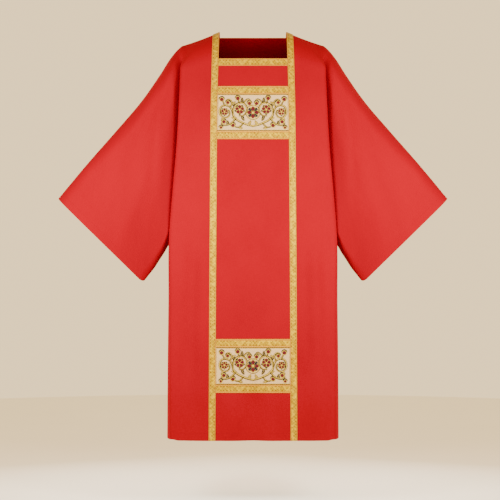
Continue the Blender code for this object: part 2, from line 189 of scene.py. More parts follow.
SLEEVE_ROUND = 0.12  # share of the way down over which the cloth rounds off the top fold
SLEEVE_CLOSE = 0.07  # share over which it closes to the seam
TIP_CUT = 0.075  # how far the cuff's lower corner is rounded back, as a share of the sleeve
TIP_SHARE = 0.045  # the last share of the way down to the seam, over which it is rounded
TIP_POWER = 8  # the higher, the nearer the rounding keeps to the cuff
SLOPE_STEP = 0.002  # share of the sleeve's length over which its slope is taken

# Soft folds: the side they lie on, the places of their two ends, their half width at each end, and
# their height, which is negative for a trough. "bow" is how far their middle bends outwards.
FOLD_COLUMNS = "side   x_top  z_top   x_foot z_foot  top    foot   height   bow"
BODY_FOLDS = table(
    FOLD_COLUMNS,
    (1, -0.148, -0.600, -0.156, -1.120, 0.024, 0.026, 0.0060, 0.0),
    (1, -0.186, -0.580, -0.196, -1.220, 0.025, 0.027, -0.0082, 0.0),
    (1, 0.150, -0.580, 0.160, -1.120, 0.024, 0.026, 0.0060, 0.0),
    (1, 0.190, -0.600, 0.200, -1.200, 0.025, 0.027, -0.0080, 0.0),
    (1, 0.002, -1.060, 0.000, -1.400, 0.028, 0.028, -0.0090, 0.0),
    (-1, 0.170, -0.420, 0.186, -1.310, 0.026, 0.026, -0.0070, 0.0),
    (-1, -0.162, -0.520, -0.178, -1.330, 0.024, 0.024, -0.0080, 0.0),
    (-1, 0.040, -0.300, 0.030, -1.180, 0.036, 0.036, -0.0050, 0.0),
    (-1, -0.070, -0.620, -0.062, -1.330, 0.030, 0.030, 0.0050, 0.0),
    # Finer ones, which the packed model leaves out.
    (1, -0.172, -0.120, -0.196, -0.520, 0.012, 0.022, -0.0016, 0.004),
    (1, 0.168, -0.140, 0.202, -0.560, 0.012, 0.024, -0.0018, -0.004),
    (1, -0.216, -0.360, -0.210, -0.900, 0.018, 0.024, 0.0014, 0.0),
    (1, 0.224, -0.420, 0.226, -0.980, 0.014, 0.016, 0.0018, 0.0),
    (1, -0.226, -0.900, -0.222, -1.320, 0.016, 0.020, -0.0022, 0.003),
    (1, 0.150, -0.980, 0.144, -1.330, 0.018, 0.026, -0.0024, 0.0),
    (1, -0.156, -0.930, -0.150, -1.330, 0.020, 0.028, 0.0016, 0.0),
    (1, 0.070, -0.420, 0.086, -0.960, 0.026, 0.034, 0.0012, 0.0),
    (1, -0.064, -0.460, -0.080, -1.010, 0.024, 0.036, 0.0013, 0.0),
    (1, 0.010, -0.360, -0.006, -0.900, 0.028, 0.040, -0.0012, 0.006),
    (1, 0.060, -1.090, 0.066, -1.340, 0.020, 0.026, 0.0018, 0.0),
    (1, -0.056, -1.100, -0.066, -1.340, 0.020, 0.026, 0.0018, 0.0),
    (-1, 0.110, -0.140, 0.070, -0.520, 0.016, 0.030, 0.0024, 0.008),
    (-1, -0.116, -0.150, -0.084, -0.560, 0.016, 0.030, 0.0022, -0.008),
    (-1, -0.010, -0.620, -0.006, -1.330, 0.020, 0.030, -0.0030, 0.006),
    (-1, 0.112, -0.640, 0.118, -1.330, 0.020, 0.028, 0.0034, 0.0),
    (-1, 0.218, -0.700, 0.222, -1.330, 0.016, 0.020, 0.0024, 0.0),
    (-1, -0.216, -0.620, -0.224, -1.330, 0.016, 0.020, 0.0026, 0.0),
    (-1, -0.120, -0.760, -0.116, -1.340, 0.018, 0.024, -0.0026, 0.0),
)
FOLDS_END_X = 0.245  # the folds end this far out on the body
FOLDS_FADE = 0.03  # and fade over this distance
FOLD_END = 0.3  # share of a fold's length over which each end fades
SLEEVE_FOLDS = table(
    FOLD_COLUMNS,
    (1, 0.296, -0.180, 0.302, -0.720, 0.024, 0.028, 0.0058, 0.0),
    (1, 0.352, -0.260, 0.356, -0.720, 0.030, 0.030, -0.0034, 0.0),
    (1, 0.430, -0.330, 0.425, -0.700, 0.030, 0.030, 0.0040, 0.0),
    (1, 0.506, -0.410, 0.492, -0.640, 0.026, 0.026, -0.0030, 0.0),
    (-1, 0.310, -0.190, 0.300, -0.700, 0.026, 0.026, 0.0060, 0.0),
    (-1, 0.385, -0.270, 0.372, -0.720, 0.028, 0.028, -0.0070, 0.0),
    (-1, 0.470, -0.370, 0.450, -0.680, 0.030, 0.030, 0.0040, 0.0),
    # Finer ones, most of which fan out from the shoulder point.
    (1, 0.262, -0.110, 0.330, -0.600, 0.008, 0.022, 0.0024, 0.006),
    (1, 0.272, -0.120, 0.392, -0.560, 0.008, 0.024, -0.0016, 0.008),
    (1, 0.290, -0.140, 0.452, -0.520, 0.009, 0.022, 0.0018, 0.010),
    (1, 0.540, -0.470, 0.500, -0.560, 0.014, 0.018, 0.0018, 0.0),
    (1, 0.560, -0.490, 0.470, -0.640, 0.012, 0.020, -0.0016, 0.0),
    (-1, 0.270, -0.120, 0.350, -0.620, 0.009, 0.022, -0.0030, 0.006),
    (-1, 0.290, -0.150, 0.430, -0.560, 0.009, 0.022, 0.0024, 0.010),
    (-1, 0.550, -0.480, 0.480, -0.620, 0.014, 0.020, -0.0020, 0.0),
)

# Very shallow, wide unevenness of the whole cloth: its lengths across and down, how far it is
# turned, and its height.
WAVES = table(
    "across down   turn height",
    (0.31, 0.52, 0.4, 0.0007),
    (0.17, 0.83, 2.1, 0.0006),
    (0.41, 0.23, 4.4, 0.0005),
    (0.12, 0.37, 1.2, 0.0003),
)

# ---- Sizes of the braid and the embroidery --------------------------------------------------

BRAID_COLUMNS = np.array((0, 0.02, 0.05, 0.09, 0.125, 0.15, 0.20, 0.27, 0.34, 0.42, 0.50))
BRAID_EDGE = 0.55  # thickness at the braid's very edge, as a share of the whole
LATTICE = 0.0200  # length of one repeat of the braid's woven lattice
LATTICE_SPAN = 0.0066  # half the width that it takes
BAR = 0.0018  # half the width of the lattice's bars
BAR_INSIDE = 0.0006  # the bars slope down from so far inside their edges
BAR_SLOPE = 0.0016
BORDER = 0.0024  # width of the braid's plain borders
BORDER_HEIGHT = 0.00035
LATTICE_HEIGHT = 0.00030
STITCH_LENGTH = 0.0026
STITCH_PITCH = 0.0034
STITCH_RADIUS = 0.00022
STITCH_INSET = 0.0011  # from the braid's edge to its stitches
STITCH_SIDES = 4
STITCH_SHAPE = ((0.0, 0.25), (0.25, 1.0), (0.75, 1.0), (1.0, 0.25))  # share of length, thickness
HEM_STITCH_PITCH = 0.0052
HEM_STITCH_INSET = 0.002  # from the turned hem's edge to its stitches
HEM_STITCH_ROW = -4  # row of the cloth that these stitches face out with
THIN = 0.0006  # radius of a thin outlining thread
BOLD = 0.0012  # radius of the thread on the shadow side of a stem
RING = 0.0010  # radius of the gold cord round a flower
SUNK = 0.0001  # how far a padded shape reaches into the cream cloth
EDGE_LINE_INSET = 0.0022
EDGING_INSET = 0.0006
MM = 0.001
SATIN_COLUMNS = 9
SATIN_LIE = 0.003  # half the length that the threads across a padded shape count as having
SATIN_DROP = 0.98  # 1 less the square of a padded shape's height at its edges
FATTEST = 0.9  # greatest height of a padded shape, as a share of its half width
CORD_SIDES = 6
CORD_LIFT = 0.6  # how high a thread's middle lies, as a share of its radius
CORD_TWIST = 0.003  # length of one turn of a thread's two plies
CORD_SWELL = 0.15  # how far the plies stand out, as a share of its radius
DOME_RINGS = 7
DOME_SEGMENTS = 22
BULGE = 0.8  # the lower, the blunter the ends of a leaf or a petal
FINEST = 0.00005  # half width of a pointed shape at its tip
STEM_STEP = 0.0013
STEM_FULLEST = 0.3  # share of the way to the tip
STEM_KNOT = 0.6  # radius of the knot at its tip, as a share of its width there
LEAF_STEPS = 14
VEIN = slice(2, -3)  # the part of a leaf's spine that its vein runs along
LEAF_BEND = 0.09
LEAF_FULLEST = 0.75
PETAL_STEPS = 12
RING_STEPS = 26
CRESCENT_STEPS = 14
CRESCENT_OUT = 0.0027  # from a berry's edge to the middle of its crescent
CRESCENT_WIDTH = 0.0050
ROSETTE_STEPS = 72
ROSETTE_KNOT = 0.0015
ROOT_KNOT = 0.0040

# The right half of the design, in millimetres from the panel's centre. The left half mirrors it.
STEMS = (
    # its width at the root, in the middle and at the tip, then the points that it passes
    (3.8, 4.8, 3.6, (0, -42), (17, -38), (34, -31), (49, -23), (60, -10), (64, 5), (72, 18), (86, 23)),
    (3.6, 4.4, 2.4, (84, 23), (97, 19), (103, 6), (100, -9), (89, -17), (77, -14), (71, -3), (75, 8)),
    (3.2, 4.6, 2.4, (62, -4), (58, 16), (46, 28), (31, 29), (21, 19), (21, 3), (30, -9), (43, -10)),
    (2.6, 3.8, 2.6, (30, 28), (22, 37), (14, 41), (8, 36)),
    (2.6, 3.8, 2.6, (54, -19), (66, -32), (81, -39), (94, -38), (98, -32)),
    (2.6, 3.8, 2.6, (70, 15), (65, 29), (69, 38), (77, 41), (84, 36)),
    (2.4, 3.0, 2.4, (87, 22), (90, 29), (93, 34)),
    (2.4, 3.2, 2.4, (30, -32), (38, -42), (47, -46), (55, -44)),
    (2.2, 2.8, 2.4, (40, 29), (43, 34), (45, 38)),
)
LEAVES = (
    # x, y, the way it points in degrees, length, width, and whether it is dark
    (50, -22, 18, 17, 9.0, 0),
    (57, 17, 62, 16, 8.0, 1),
    (36, 30, 96, 17, 8.0, 1),
    (33, -10, -112, 17, 8.0, 1),
    (15, -38, 122, 15, 7.5, 0),
    (66, -31, -118, 15, 8.0, 0),
    (80, -39, 96, 14, 7.5, 1),
    (90, -17, -58, 14, 8.0, 0),
    (66, 27, 150, 14, 7.5, 0),
    (44, -46, -168, 13, 7.0, 0),
)
BERRIES = (
    # x, y, radius
    (96.5, 40.5, 6.0),
    (90, -29, 5.6),
    (11, 28, 5.6),
    (78, 31, 5.2),
    (62, -40, 6.0),
    (99, -47, 4.2),
    (47, 44, 6.0),
)
FLOWERS = (
    # x, y, radius, number of petals
    (41, 9, 14.5, 5),
    (88, 2, 11.5, 5),
)
ROSETTE_RADIUS = 18.5
ROSETTE_PETALS = 8
# Shares of the flower's radius.
FLOWER_EYE = 0.19
ROSETTE_EYE = 0.2
KNOTS_OUT = 0.90
ROSETTE_RINGS = ((1.14, "gold", RING), (1.23, "olive", THIN))
GOLD_EDGES = (("gold", THIN), ("gold", THIN))
OLIVE_EDGES = (("olive", THIN), ("olive", THIN))
STEM_EDGES = (("olive", BOLD), ("olive", THIN))
PETALS = {
    # colour, start, end and width as shares of the flower's radius, how near its tip it is widest,
    # the threads along its edges, and its height
    "sepal": ("charcoal", 0.2, 1.18, 0.74, 1.3, (), 0.7),
    "flower": ("red", 0.1, 1.0, 0.84, 1.3, GOLD_EDGES, 1.0),
    "dark rosette": ("charcoal", 0.2, 1.04, 0.74, 1.3, (), 1.0),
    "red rosette": ("red", 0.12, 1.02, 0.72, 1.25, GOLD_EDGES, 1.0),
}


# ---- What a user would change ---------------------------------------------------------------

KINDS = {
    "length": (FloatProperty, {"min": 0.0, "unit": "LENGTH", "precision": 4}),
    "place": (FloatProperty, {"unit": "LENGTH", "precision": 4}),
    "share": (FloatProperty, {"min": 0.0, "max": 1.0, "subtype": "FACTOR"}),
    "strength": (FloatProperty, {"min": 0.0}),
    "colour": (FloatVectorProperty, {"min": 0.0, "max": 1.0, "subtype": "COLOR"}),
}


def setting(kind, name, description, default):
    """A property of one of the kinds above."""
    made, limits = KINDS[kind]
    return made(name=name, description=description, default=default, **limits)


class DalmaticCloth(PropertyGroup):
    """The red cloth of the body and the sleeves."""

    colour: setting("colour", "Colour", "Colour of the cloth", (0.237, 0.0, 0.0064))
    # The deep colour is painted shade between the threads, and also the darker end of the yarn's
    # uneven tone.
    deep: setting("colour", "Deep colour", "Colour between its threads", (0.169, 0.0, 0.0044))
    thread: setting("length", "Thread", "Distance from one thread to the next", 0.0006)
    sheen: setting("share", "Sheen", "Strength of its soft nap", 0.075)


class DalmaticBraid(PropertyGroup):
    """The woven gold braid."""

    light: setting("colour", "Light gold", "Colour of the raised lattice", (0.40, 0.262, 0.0))
    dark: setting("colour", "Dark gold", "Colour of the ground between it", (0.215, 0.108, 0.0))
    # Its brighter patches are painted sheen.
    painted_sheen: setting("colour", "Bright gold", "Colour of its brighter patches", (0.66, 0.44, 0.0))
    border: setting("colour", "Border", "Colour of the two borders", (0.45, 0.21, 0.008))
    rib: setting("length", "Rib", "Distance from one weft rib to the next", 0.0011)


class DalmaticEmbroidery(PropertyGroup):
    """The embroidered panels."""

    ground: setting("colour", "Ground", "Colour of the panels' cloth", (0.52, 0.355, 0.165))
    gold: setting("colour", "Gold thread", "Colour of stems and leaves", (0.50, 0.345, 0.030))
    olive: setting("colour", "Outline", "Colour of the thin outlines", (0.024, 0.015, 0.002))
    red: setting("colour", "Red thread", "Colour of petals and berries", (0.080, 0.0, 0.006))
    charcoal: setting("colour", "Charcoal thread", "Colour of the dark leaves", (0.011, 0.008, 0.010))
    relief: setting("length", "Relief", "Height of the padded satin stitch", 0.0011)


class DalmaticStage(PropertyGroup):
    """The floor, the lights and the camera."""

    distance: setting("length", "Camera distance", "From the camera to the garment's front", 5.0)
    height: setting("place", "Camera height", "Height of the camera", -0.6893)
    aside: setting("place", "Camera aside", "Place of the camera across", -0.0092)
    width: setting("length", "Width of view", "Width seen at the garment's front", 1.54)
    floor_drop: setting("length", "Floor below hem", "From the hem down to the floor", 0.20)
    floor_radius: setting("length", "Floor radius", "Radius of the round floor", 3.7)
    floor: setting("colour", "Floor colour", "Colour of the floor", (0.90, 0.85, 0.75))
    wall: setting("colour", "Surroundings", "Colour of the light all round", (1.0, 0.74, 0.395))
    ambient: setting("strength", "Surrounding light", "Strength of the light all round", 1.72)
    lamp: setting("colour", "Lamp colour", "Colour of the four lamps", (1.0, 0.97, 0.93))
    lamps: setting("strength", "Lamps", "Strength of the four lamps", 1.0)


# ---- Curves and small tools -----------------------------------------------------------------


def smooth(t):
    """0 up to t = 0, 1 from t = 1, and level at both ends."""
    t = np.clip(t, 0.0, 1.0)
    return t * t * (3 - 2 * t)


def hermite(start, start_slope, end, end_slope, t):
    """A cubic from start to end, its slopes given over the whole step."""
    return (
        (2 * t**3 - 3 * t**2 + 1) * start
        + (t**3 - 2 * t**2 + t) * start_slope
        + (3 * t**2 - 2 * t**3) * end
        + (t**3 - t**2) * end_slope
    )


def read(columns, name, at):
    """The named column's values at places given in the table's knots, on a smooth curve."""
    knots = next(iter(columns.values()))
    values = columns[name]
    slopes = np.gradient(values, knots)
    row = np.clip(np.searchsorted(knots, at) - 1, 0, len(knots) - 2)
    step = knots[row + 1] - knots[row]
    t = np.clip((at - knots[row]) / step, 0.0, 1.0)
    return hermite(values[row], slopes[row] * step, values[row + 1], slopes[row + 1] * step, t)


def unit(vectors):
    """The vectors, each scaled to a length of 1."""
    return vectors / np.linalg.norm(vectors, axis=-1, keepdims=True)


def steps_of(points, axis=0):
    """Distances from each point to the next."""
    return np.linalg.norm(np.diff(points, axis=axis), axis=-1)


def run_of(line):
    """Lengths along a line, from its start to each of its points."""
    return np.concatenate([[0], np.cumsum(steps_of(line))])


def together(*parts):
    """Points or lengths put together from their parts, each as large as the largest."""
    return np.stack(np.broadcast_arrays(*parts), axis=-1)


def fold_height(folds, side, x, z):
    """How far the soft folds lift the cloth at places seen from the front."""
    lift = np.zeros(np.broadcast(side, x, z).shape)
    for row in zip(*folds.values()):
        fold_side, x_top, z_top, x_foot, z_foot, top, foot, height, bow = row
        share = np.clip((z_top - z) / (z_top - z_foot), 0.0, 1.0)
        middle = x_top + (x_foot - x_top) * share + 4 * bow * share * (1 - share)
        width = top + (foot - top) * share
        ends = smooth(share / FOLD_END) * smooth((1 - share) / FOLD_END)
        lift += height * ends * np.exp(-(((x - middle) / width) ** 2)) * (side == fold_side)
    return lift


def unevenness(x, z, turned):
    """The cloth's very shallow waves, turned from one side to the other."""
    lift = 0.0
    for across, down, turn, height in zip(*WAVES.values()):
        lift = lift + height * np.sin(2 * math.pi * (x / across + z / down) + turn + turned)
    return lift


# ---- The body's surface ---------------------------------------------------------------------


def braid_inner(drop):
    """How far out the long braid's inner edge runs."""
    return read(BRAID_LINE, "inner", drop)


def ridge(drop):
    """The share of its full depth that the cloth has reached on the round of the shoulder."""
    return np.sqrt(1 - (1 - np.minimum(drop / RIDGE_DROP, 1.0)) ** 2)


def arch(drop):
    """1 along the armhole's sides, closing to 0 round its bottom at the underarm."""
    t = (drop - (UNDERARM_DROP - ARCH_HEIGHT)) / ARCH_HEIGHT
    return math.sqrt(max(1 - max(t, 0.0) ** 2, 0.0))


def dip(x, drop):
    """How far the slope of the shoulders has lowered the cloth, this far out and down."""
    return read(SHOULDER, "dip", np.abs(x)) * (1 - smooth(drop / DIP_FADES_AT))


def hem_rise(x, drop):
    """How far the hem is lifted towards the sides."""
    across = smooth((x - HEM_RISES_FROM) / (HEM_RISES_TO - HEM_RISES_FROM))
    return HEM_RISE * across * smooth((drop - HEM_RISES_AT) / HEM_RISES_OVER)


def lifted(side, x, z):
    """How far folds and unevenness lift the body's cloth."""
    clear = smooth((FOLDS_END_X - np.abs(x)) / FOLDS_FADE)
    return (fold_height(BODY_FOLDS, side, x, z) + unevenness(x, z, side)) * clear


def half_section(drop, side):
    """The left half of a section, as points from the middle to the seam."""
    at = {name: read(BODY, name, drop) for name in BODY}
    inner = braid_inner(drop)
    outer = inner + BRAID_WIDTH
    stand = at["front" if side > 0 else "back"]
    armhole = at["armhole"] * arch(drop) * (1.0 if side > 0 else BACK_ARMHOLE)
    start = at["edge"] - at["corner"]

    middle = np.linspace(0, inner, MIDDLE_STEPS + 1)
    under_braid = np.linspace(inner, outer, BRAID_STEPS + 1)[1:]
    run = np.linspace(0, 1, RUN_STEPS + 1)[1:]
    turn = np.linspace(0, 1, CORNER_STEPS + 1)[1:]
    back = np.linspace(0, 1, RETURN_STEPS + 1)[1:]
    angle = turn * math.pi / 2
    widest = stand - at["lean"] - at["setback"]
    reach = math.hypot(at["edge"] - at["seam"], widest - armhole)
    tuck = TUCK * smooth((UNDERARM_DROP - drop) / TUCK_FADES)

    bent = np.concatenate([
        middle,
        under_braid,
        outer + (start - outer) * run,
        start + at["corner"] * np.sin(angle),
        hermite(at["edge"], 0.0, at["seam"], tuck * reach, back),
    ])
    depth = np.concatenate([
        np.full(len(middle) + len(under_braid), stand),
        stand - at["lean"] * run**2,
        stand - at["lean"] - at["setback"] * (1 - np.cos(angle)),
        hermite(widest, -reach, armhole, -reach, back),
    ])
    # On the ridge itself the cloth lies straight out to the shoulder point, with no fold, its points
    # shared out 3 : 4 : 4 over the run, the corner and the way back.
    out = np.concatenate([3 * run, 3 + 4 * turn, 7 + 4 * back]) / 11
    straight = np.concatenate([middle, under_braid, outer + (SHOULDER_X - outer) * out])
    place = straight + (bent - straight) * smooth(drop / PINCH_DROP)
    reached = np.maximum.accumulate(place)
    z = -drop - dip(reached, drop) + hem_rise(reached, drop)
    return np.stack([place, -side * ridge(drop) * depth, z], axis=1)


def section(drop, side):
    """A whole section with its soft folds, ordered so that the shell built on it faces out."""
    half = half_section(drop, side)
    points = np.concatenate([half[:0:-1] * (-1, 1, 1), half])[::side]
    points[:, 1] -= side * lifted(side, points[:, 0], points[:, 2]) * ridge(drop)
    return points


def seam_direction(half, drop):
    """The way across the armhole seam, as the body's cloth arrives there, but out at the underarm."""
    way = unit(3 * half[-1] - 4 * half[-2] + half[-3])  # the slope at the last point
    way += (np.array((1.0, 0.0, 0.0)) - way) * smooth(1 - (UNDERARM_DROP - drop) / SEAM_TURNS)
    return unit(way)


def divided(stops, longest):
    """The stops with more between them, so that no step is longer than the longest."""
    rows = [stops[0]]
    for low, high in zip(stops, stops[1:]):
        count = math.ceil((high - low) / longest - TINY)
        rows += list(np.linspace(low, high, count + 1)[1:])
    return rows


def body_drops():
    """The drops of the panel's rows."""
    round_part = RIDGE_DROP * (1 - np.cos(RIDGE_ANGLES))
    arch_part = UNDERARM_DROP - ARCH_HEIGHT * (1 - np.sin(ARCH_ANGLES))
    return divided(sorted([*round_part, *arch_part, LENGTH - HEM_DEPTH, LENGTH]), LONGEST_ROW)


DROPS = body_drops()


def body_grid(side):
    """The panel's outer points, a row for each drop, with half a seam's gap at its sewn edges."""
    grid = np.array([section(drop, side) for drop in DROPS])
    grid[0, :, 1] -= side * SEWN_GAP / 2
    below = [row for row, drop in enumerate(DROPS) if drop >= UNDERARM_DROP - TINY]
    for column in (0, -1):
        grid[below, column, 1] -= side * SEWN_GAP / 2
    return grid


# ---- The sleeve's surface -------------------------------------------------------------------


def fullness(share, hang):
    """The share of a sleeve's fullness at a share of the way from its top fold to its seam."""
    rise = np.sqrt(1 - np.maximum(1 - share / SLEEVE_ROUND, 0.0) ** 2)
    fall = 1 - (1 - hang) * smooth((share - SLEEVE_ROUND) / (1 - SLEEVE_ROUND))
    close = np.clip((share - (1 - SLEEVE_CLOSE)) / SLEEVE_CLOSE, 0.0, 1.0)
    return rise * fall * np.sqrt(1 - close**2)


def free_sleeve(along, share, side):
    """Points of the sleeve well clear of the armhole."""
    tip = np.clip(1 - (1 - share) / TIP_SHARE, 0.0, 1.0)
    along = along - TIP_CUT * (1 - np.sqrt(1 - tip**2)) * along**TIP_POWER
    at = {name: read(SLEEVE, name, along) for name in SLEEVE}
    x = at["top_x"] + (at["under_x"] - at["top_x"]) * share
    x -= at["inward"] * share * (1 - share) ** 2 / MOST_INWARD
    z = at["top_z"] + (at["under_z"] - at["top_z"]) * share
    off = np.where(side > 0, at["front"], at["back"]) * fullness(share, at["hang"])
    lift = fold_height(SLEEVE_FOLDS, side, x, z) + unevenness(x, z, side)
    return np.stack([x, -side * (off + lift * smooth(off / FOLDS_FADE)), z], axis=1)


def armhole():
    """The armhole's ring from the underarm up the back, over the shoulder and down the front."""
    above = [drop for drop in DROPS if drop <= UNDERARM_DROP + TINY]
    places = [(drop, -1) for drop in above[:0:-1]] + [(drop, 1) for drop in above]
    halves = [half_section(drop, side) for drop, side in places]
    ring = np.array([half[-1] for half in halves])
    ways = np.array([seam_direction(half, drop) for half, (drop, _) in zip(halves, places)])
    seam = np.gradient(ring, axis=0)
    seam[[0, -1]] = (0.0, 1.0, 0.0)
    seam = unit(seam)
    ways = unit(ways - (ways * seam).sum(axis=1, keepdims=True) * seam)
    side = np.array([side for _, side in places])
    share = np.clip((-SHOULDER_DIP - ring[:, 2]) / (UNDERARM_DROP - SHOULDER_DIP), 0.0, 1.0)
    return ring + ways * SEWN_GAP, ways, side, share


def sleeve_grid(mirror):
    """The sleeve's outer points, a row for each ring from the armhole to the cuff."""
    start, ways, side, share = armhole()
    end = free_sleeve(SLEEVE_START, share, side)
    onward = free_sleeve(SLEEVE_START + SLOPE_STEP, share, side) - end
    slope = onward / SLOPE_STEP * SLEEVE_START
    valley = np.linspace(0, 1, VALLEY_ROWS)[:-1]
    rows = [hermite(start, ways * VALLEY_DEPTH, end, slope, t) for t in valley]
    rows += [free_sleeve(along, share, side) for along in np.linspace(SLEEVE_START, 1, SLEEVE_ROWS)]
    grid = np.array(rows)
    grid[:, 0, 1] += SEWN_GAP / 2
    grid[:, -1, 1] -= SEWN_GAP / 2
    return grid * (-1, 1, 1) if mirror else grid[:, ::-1]


# ---- Meshes ---------------------------------------------------------------------------------


def outward(points):
    """Unit normals of a grid of outer points."""
    down = np.gradient(points, axis=0, edge_order=2)
    across = np.gradient(points, axis=1, edge_order=2)
    return unit(np.cross(down, across))


def lie_of(points):
    """How the cloth lies: lengths along it across and down from the middle of its top edge."""
    across = np.zeros(points.shape[:2])
    down = np.zeros(points.shape[:2])
    across[:, 1:] = np.cumsum(steps_of(points, 1), axis=1)
    down[1:] = np.cumsum(steps_of(points), axis=0)
    across -= across[:, [points.shape[1] // 2]]
    return together(across, down, 0.0)


def cells_of(rows, columns):
    """The four corners of each cell of a grid, facing out."""
    index = np.arange(rows * columns).reshape(rows, columns)
    corners = [index[:-1, :-1], index[1:, :-1], index[1:, 1:], index[:-1, 1:]]
    return np.stack(corners, axis=2)


def ring_cells(index):
    """The four corners of each cell between rings of points, which close on themselves."""
    aside = np.roll(index, -1, axis=-1)
    corners = [index[..., :-1, :], aside[..., :-1, :], aside[..., 1:, :], index[..., 1:, :]]
    return np.stack(corners, axis=-1)


def cut_of(points, kept=None):
    """Greatest width and length of a grid of cloth laid flat, and the area of its kept cells."""
    width = steps_of(points, 1).sum(axis=1).max()
    length = steps_of(points).sum(axis=0).max()
    first = points[1:, 1:] - points[:-1, :-1]
    second = points[1:, :-1] - points[:-1, 1:]
    areas = np.linalg.norm(np.cross(first, second), axis=2) / 2
    return width, length, (areas if kept is None else areas[kept]).sum()


def placed(name, data):
    """A new object in the scene."""
    made = bpy.data.objects.new(name, data)
    bpy.context.scene.collection.objects.link(made)
    return made


def mesh_piece(name, points, faces, lie, material):
    """An object on the root body, with the vertices that its faces use."""
    used = np.unique(np.concatenate([np.ravel(face) for face in faces]))
    renumbered = np.zeros(len(points), int)
    renumbered[used] = np.arange(len(used))
    mesh = bpy.data.meshes.new(name)
    listed = [row for face in faces for row in renumbered[face].tolist()]
    mesh.from_pydata(points[used].tolist(), [], listed)
    stored = mesh.attributes.new("lie", "FLOAT_VECTOR", "POINT")
    stored.data.foreach_set("vector", lie[used].astype(np.float32).ravel())
    mesh.shade_smooth()
    mesh.set_sharp_from_angle(angle=SHARP_ANGLE)
    mesh.materials.append(material)
    piece = placed(name, mesh)
    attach(piece, "root")
    return piece


def shell(name, outer, inner, lie, material, kept=None):
    """A closed thin shell between two grids of points, of the kept cells alone."""
    rows, columns = outer.shape[:2]
    count = rows * columns
    cells = cells_of(rows, columns)
    cells = cells.reshape(-1, 4) if kept is None else cells[kept]
    edges = np.concatenate([cells[:, [k, (k + 1) % 4]] for k in range(4)])
    alone = ~np.isin(edges @ (count, 1), edges @ (1, count))
    start, end = edges[alone].T
    rim = np.stack([end, start, start + count, end + count], axis=1)
    points = np.concatenate([outer.reshape(-1, 3), inner.reshape(-1, 3)])
    both = np.tile(lie.reshape(-1, 3), (2, 1))
    return mesh_piece(name, points, [cells, cells[:, ::-1] + count, rim], both, material)


class Heap:
    """Many small shapes gathered into one mesh."""

    def __init__(self):
        self.points = []
        self.lies = []
        self.faces = {4: [], 3: []}
        self.count = 0

    def add(self, points, lie, *faces):
        """A shape's points, how its threads lie there, and its groups of faces."""
        self.points.append(points.reshape(-1, 3))
        self.lies.append(lie.reshape(-1, 3))
        for group in faces:
            corners = group.shape[-1]
            self.faces[corners].append(group.reshape(-1, corners) + self.count)
        self.count += len(self.points[-1])

    def piece(self, name, material, slot):
        """Makes the shapes into one piece."""
        points = np.concatenate(self.points)
        lie = np.concatenate(self.lies)
        faces = [np.concatenate(group) for group in self.faces.values() if group]
        mesh_piece(name, points, faces, lie, material)


# ---- Finishes -------------------------------------------------------------------------------

SATIN_THREAD = 0.00062  # from one thread of satin stitch to the next
SEWING_PLY = 0.0006
CREAM_THREAD = 0.0009
BAR_SOFT = 0.0004  # half the width over which a bar's colour gives way to the ground's
BORDER_SOFT = 0.0003
GROOVE = (0.0001, 0.0005)  # half the width of the groove inside the border, painted darker as shade, deep and in all
TWILL = 1.4  # the borders' twill, against the braid's ribs


class Finish:
    """A material in the making, with short ways to add nodes to it."""

    def __init__(self, name, values):
        self.material = bpy.data.materials.new(name)
        self.material.use_nodes = True
        self.tree = self.material.node_tree
        self.shader = self.tree.nodes["Principled BSDF"]
        for socket, value in values.items():
            self.feed(self.shader.inputs[socket], value)

    def feed(self, socket, value):
        """Links another node's output to a socket, or sets its value."""
        if isinstance(value, bpy.types.NodeSocket):
            self.tree.links.new(value, socket)
        else:
            socket.default_value = value

    def node(self, kind, inputs, **settings):
        made = self.tree.nodes.new("ShaderNode" + kind)
        for name, value in settings.items():
            setattr(made, name, value)
        for socket, value in inputs.items():
            self.feed(made.inputs[socket], value)
        return made

    def math(self, operation, *values):
        return self.node("Math", dict(enumerate(values)), operation=operation).outputs[0]

    def times(self, first, second):
        return self.math("MULTIPLY", first, second)

    def size(self, value):
        return self.math("ABSOLUTE", value)

    def add(self, total, *terms):
        """The total and more values, each so many times."""
        for value, times in terms:
            total = self.math("MULTIPLY_ADD", value, times, total)
        return total

    def step(self, value, low, high):
        """0 below low, 1 above high, and smooth between them."""
        inputs = {"Value": value, "From Min": low, "From Max": high}
        return self.node("MapRange", inputs, interpolation_type="SMOOTHSTEP").outputs[0]

    def mix(self, factor, first, second):
        """A colour between the two."""
        first, second = ((*c, 1.0) if isinstance(c, tuple) else c for c in (first, second))
        return self.node("Mix", {0: factor, 6: first, 7: second}, data_type="RGBA").outputs[2]

    def lie(self):
        """The lengths across and along the cloth."""
        vector = self.node("Attribute", {}, attribute_name="lie").outputs["Vector"]
        parts = self.node("SeparateXYZ", {0: vector})
        return vector, parts.outputs[0], parts.outputs[1]

    def noise(self, vector, stretch, detail=2.0):
        """Noise with so many cells a metre, across and along."""
        scaled = self.node("VectorMath", {0: vector, 1: stretch}, operation="MULTIPLY").outputs[0]
        made = self.node("TexNoise", {"Vector": scaled, "Scale": 1.0, "Detail": detail})
        return made.outputs[0]

    def wave(self, value, length):
        """A sine of this length."""
        return self.math("SINE", self.times(value, 2 * math.pi / length))

    def weave(self, across, along, thread):
        """Threads this far apart that cross each other."""
        return self.times(self.wave(across, thread), self.wave(along, thread))

    def bump(self, height, distance, strength):
        made = self.node("Bump", {"Height": height, "Distance": distance, "Strength": strength})
        self.feed(self.shader.inputs["Normal"], made.outputs[0])

    def colour(self, value):
        self.feed(self.shader.inputs["Base Color"], value)

    def roughness(self, value, low, high):
        """Roughness from low to high as the value goes from 0 to 1."""
        inputs = {"Value": value, "To Min": low, "To Max": high}
        self.feed(self.shader.inputs["Roughness"], self.node("MapRange", inputs).outputs[0])


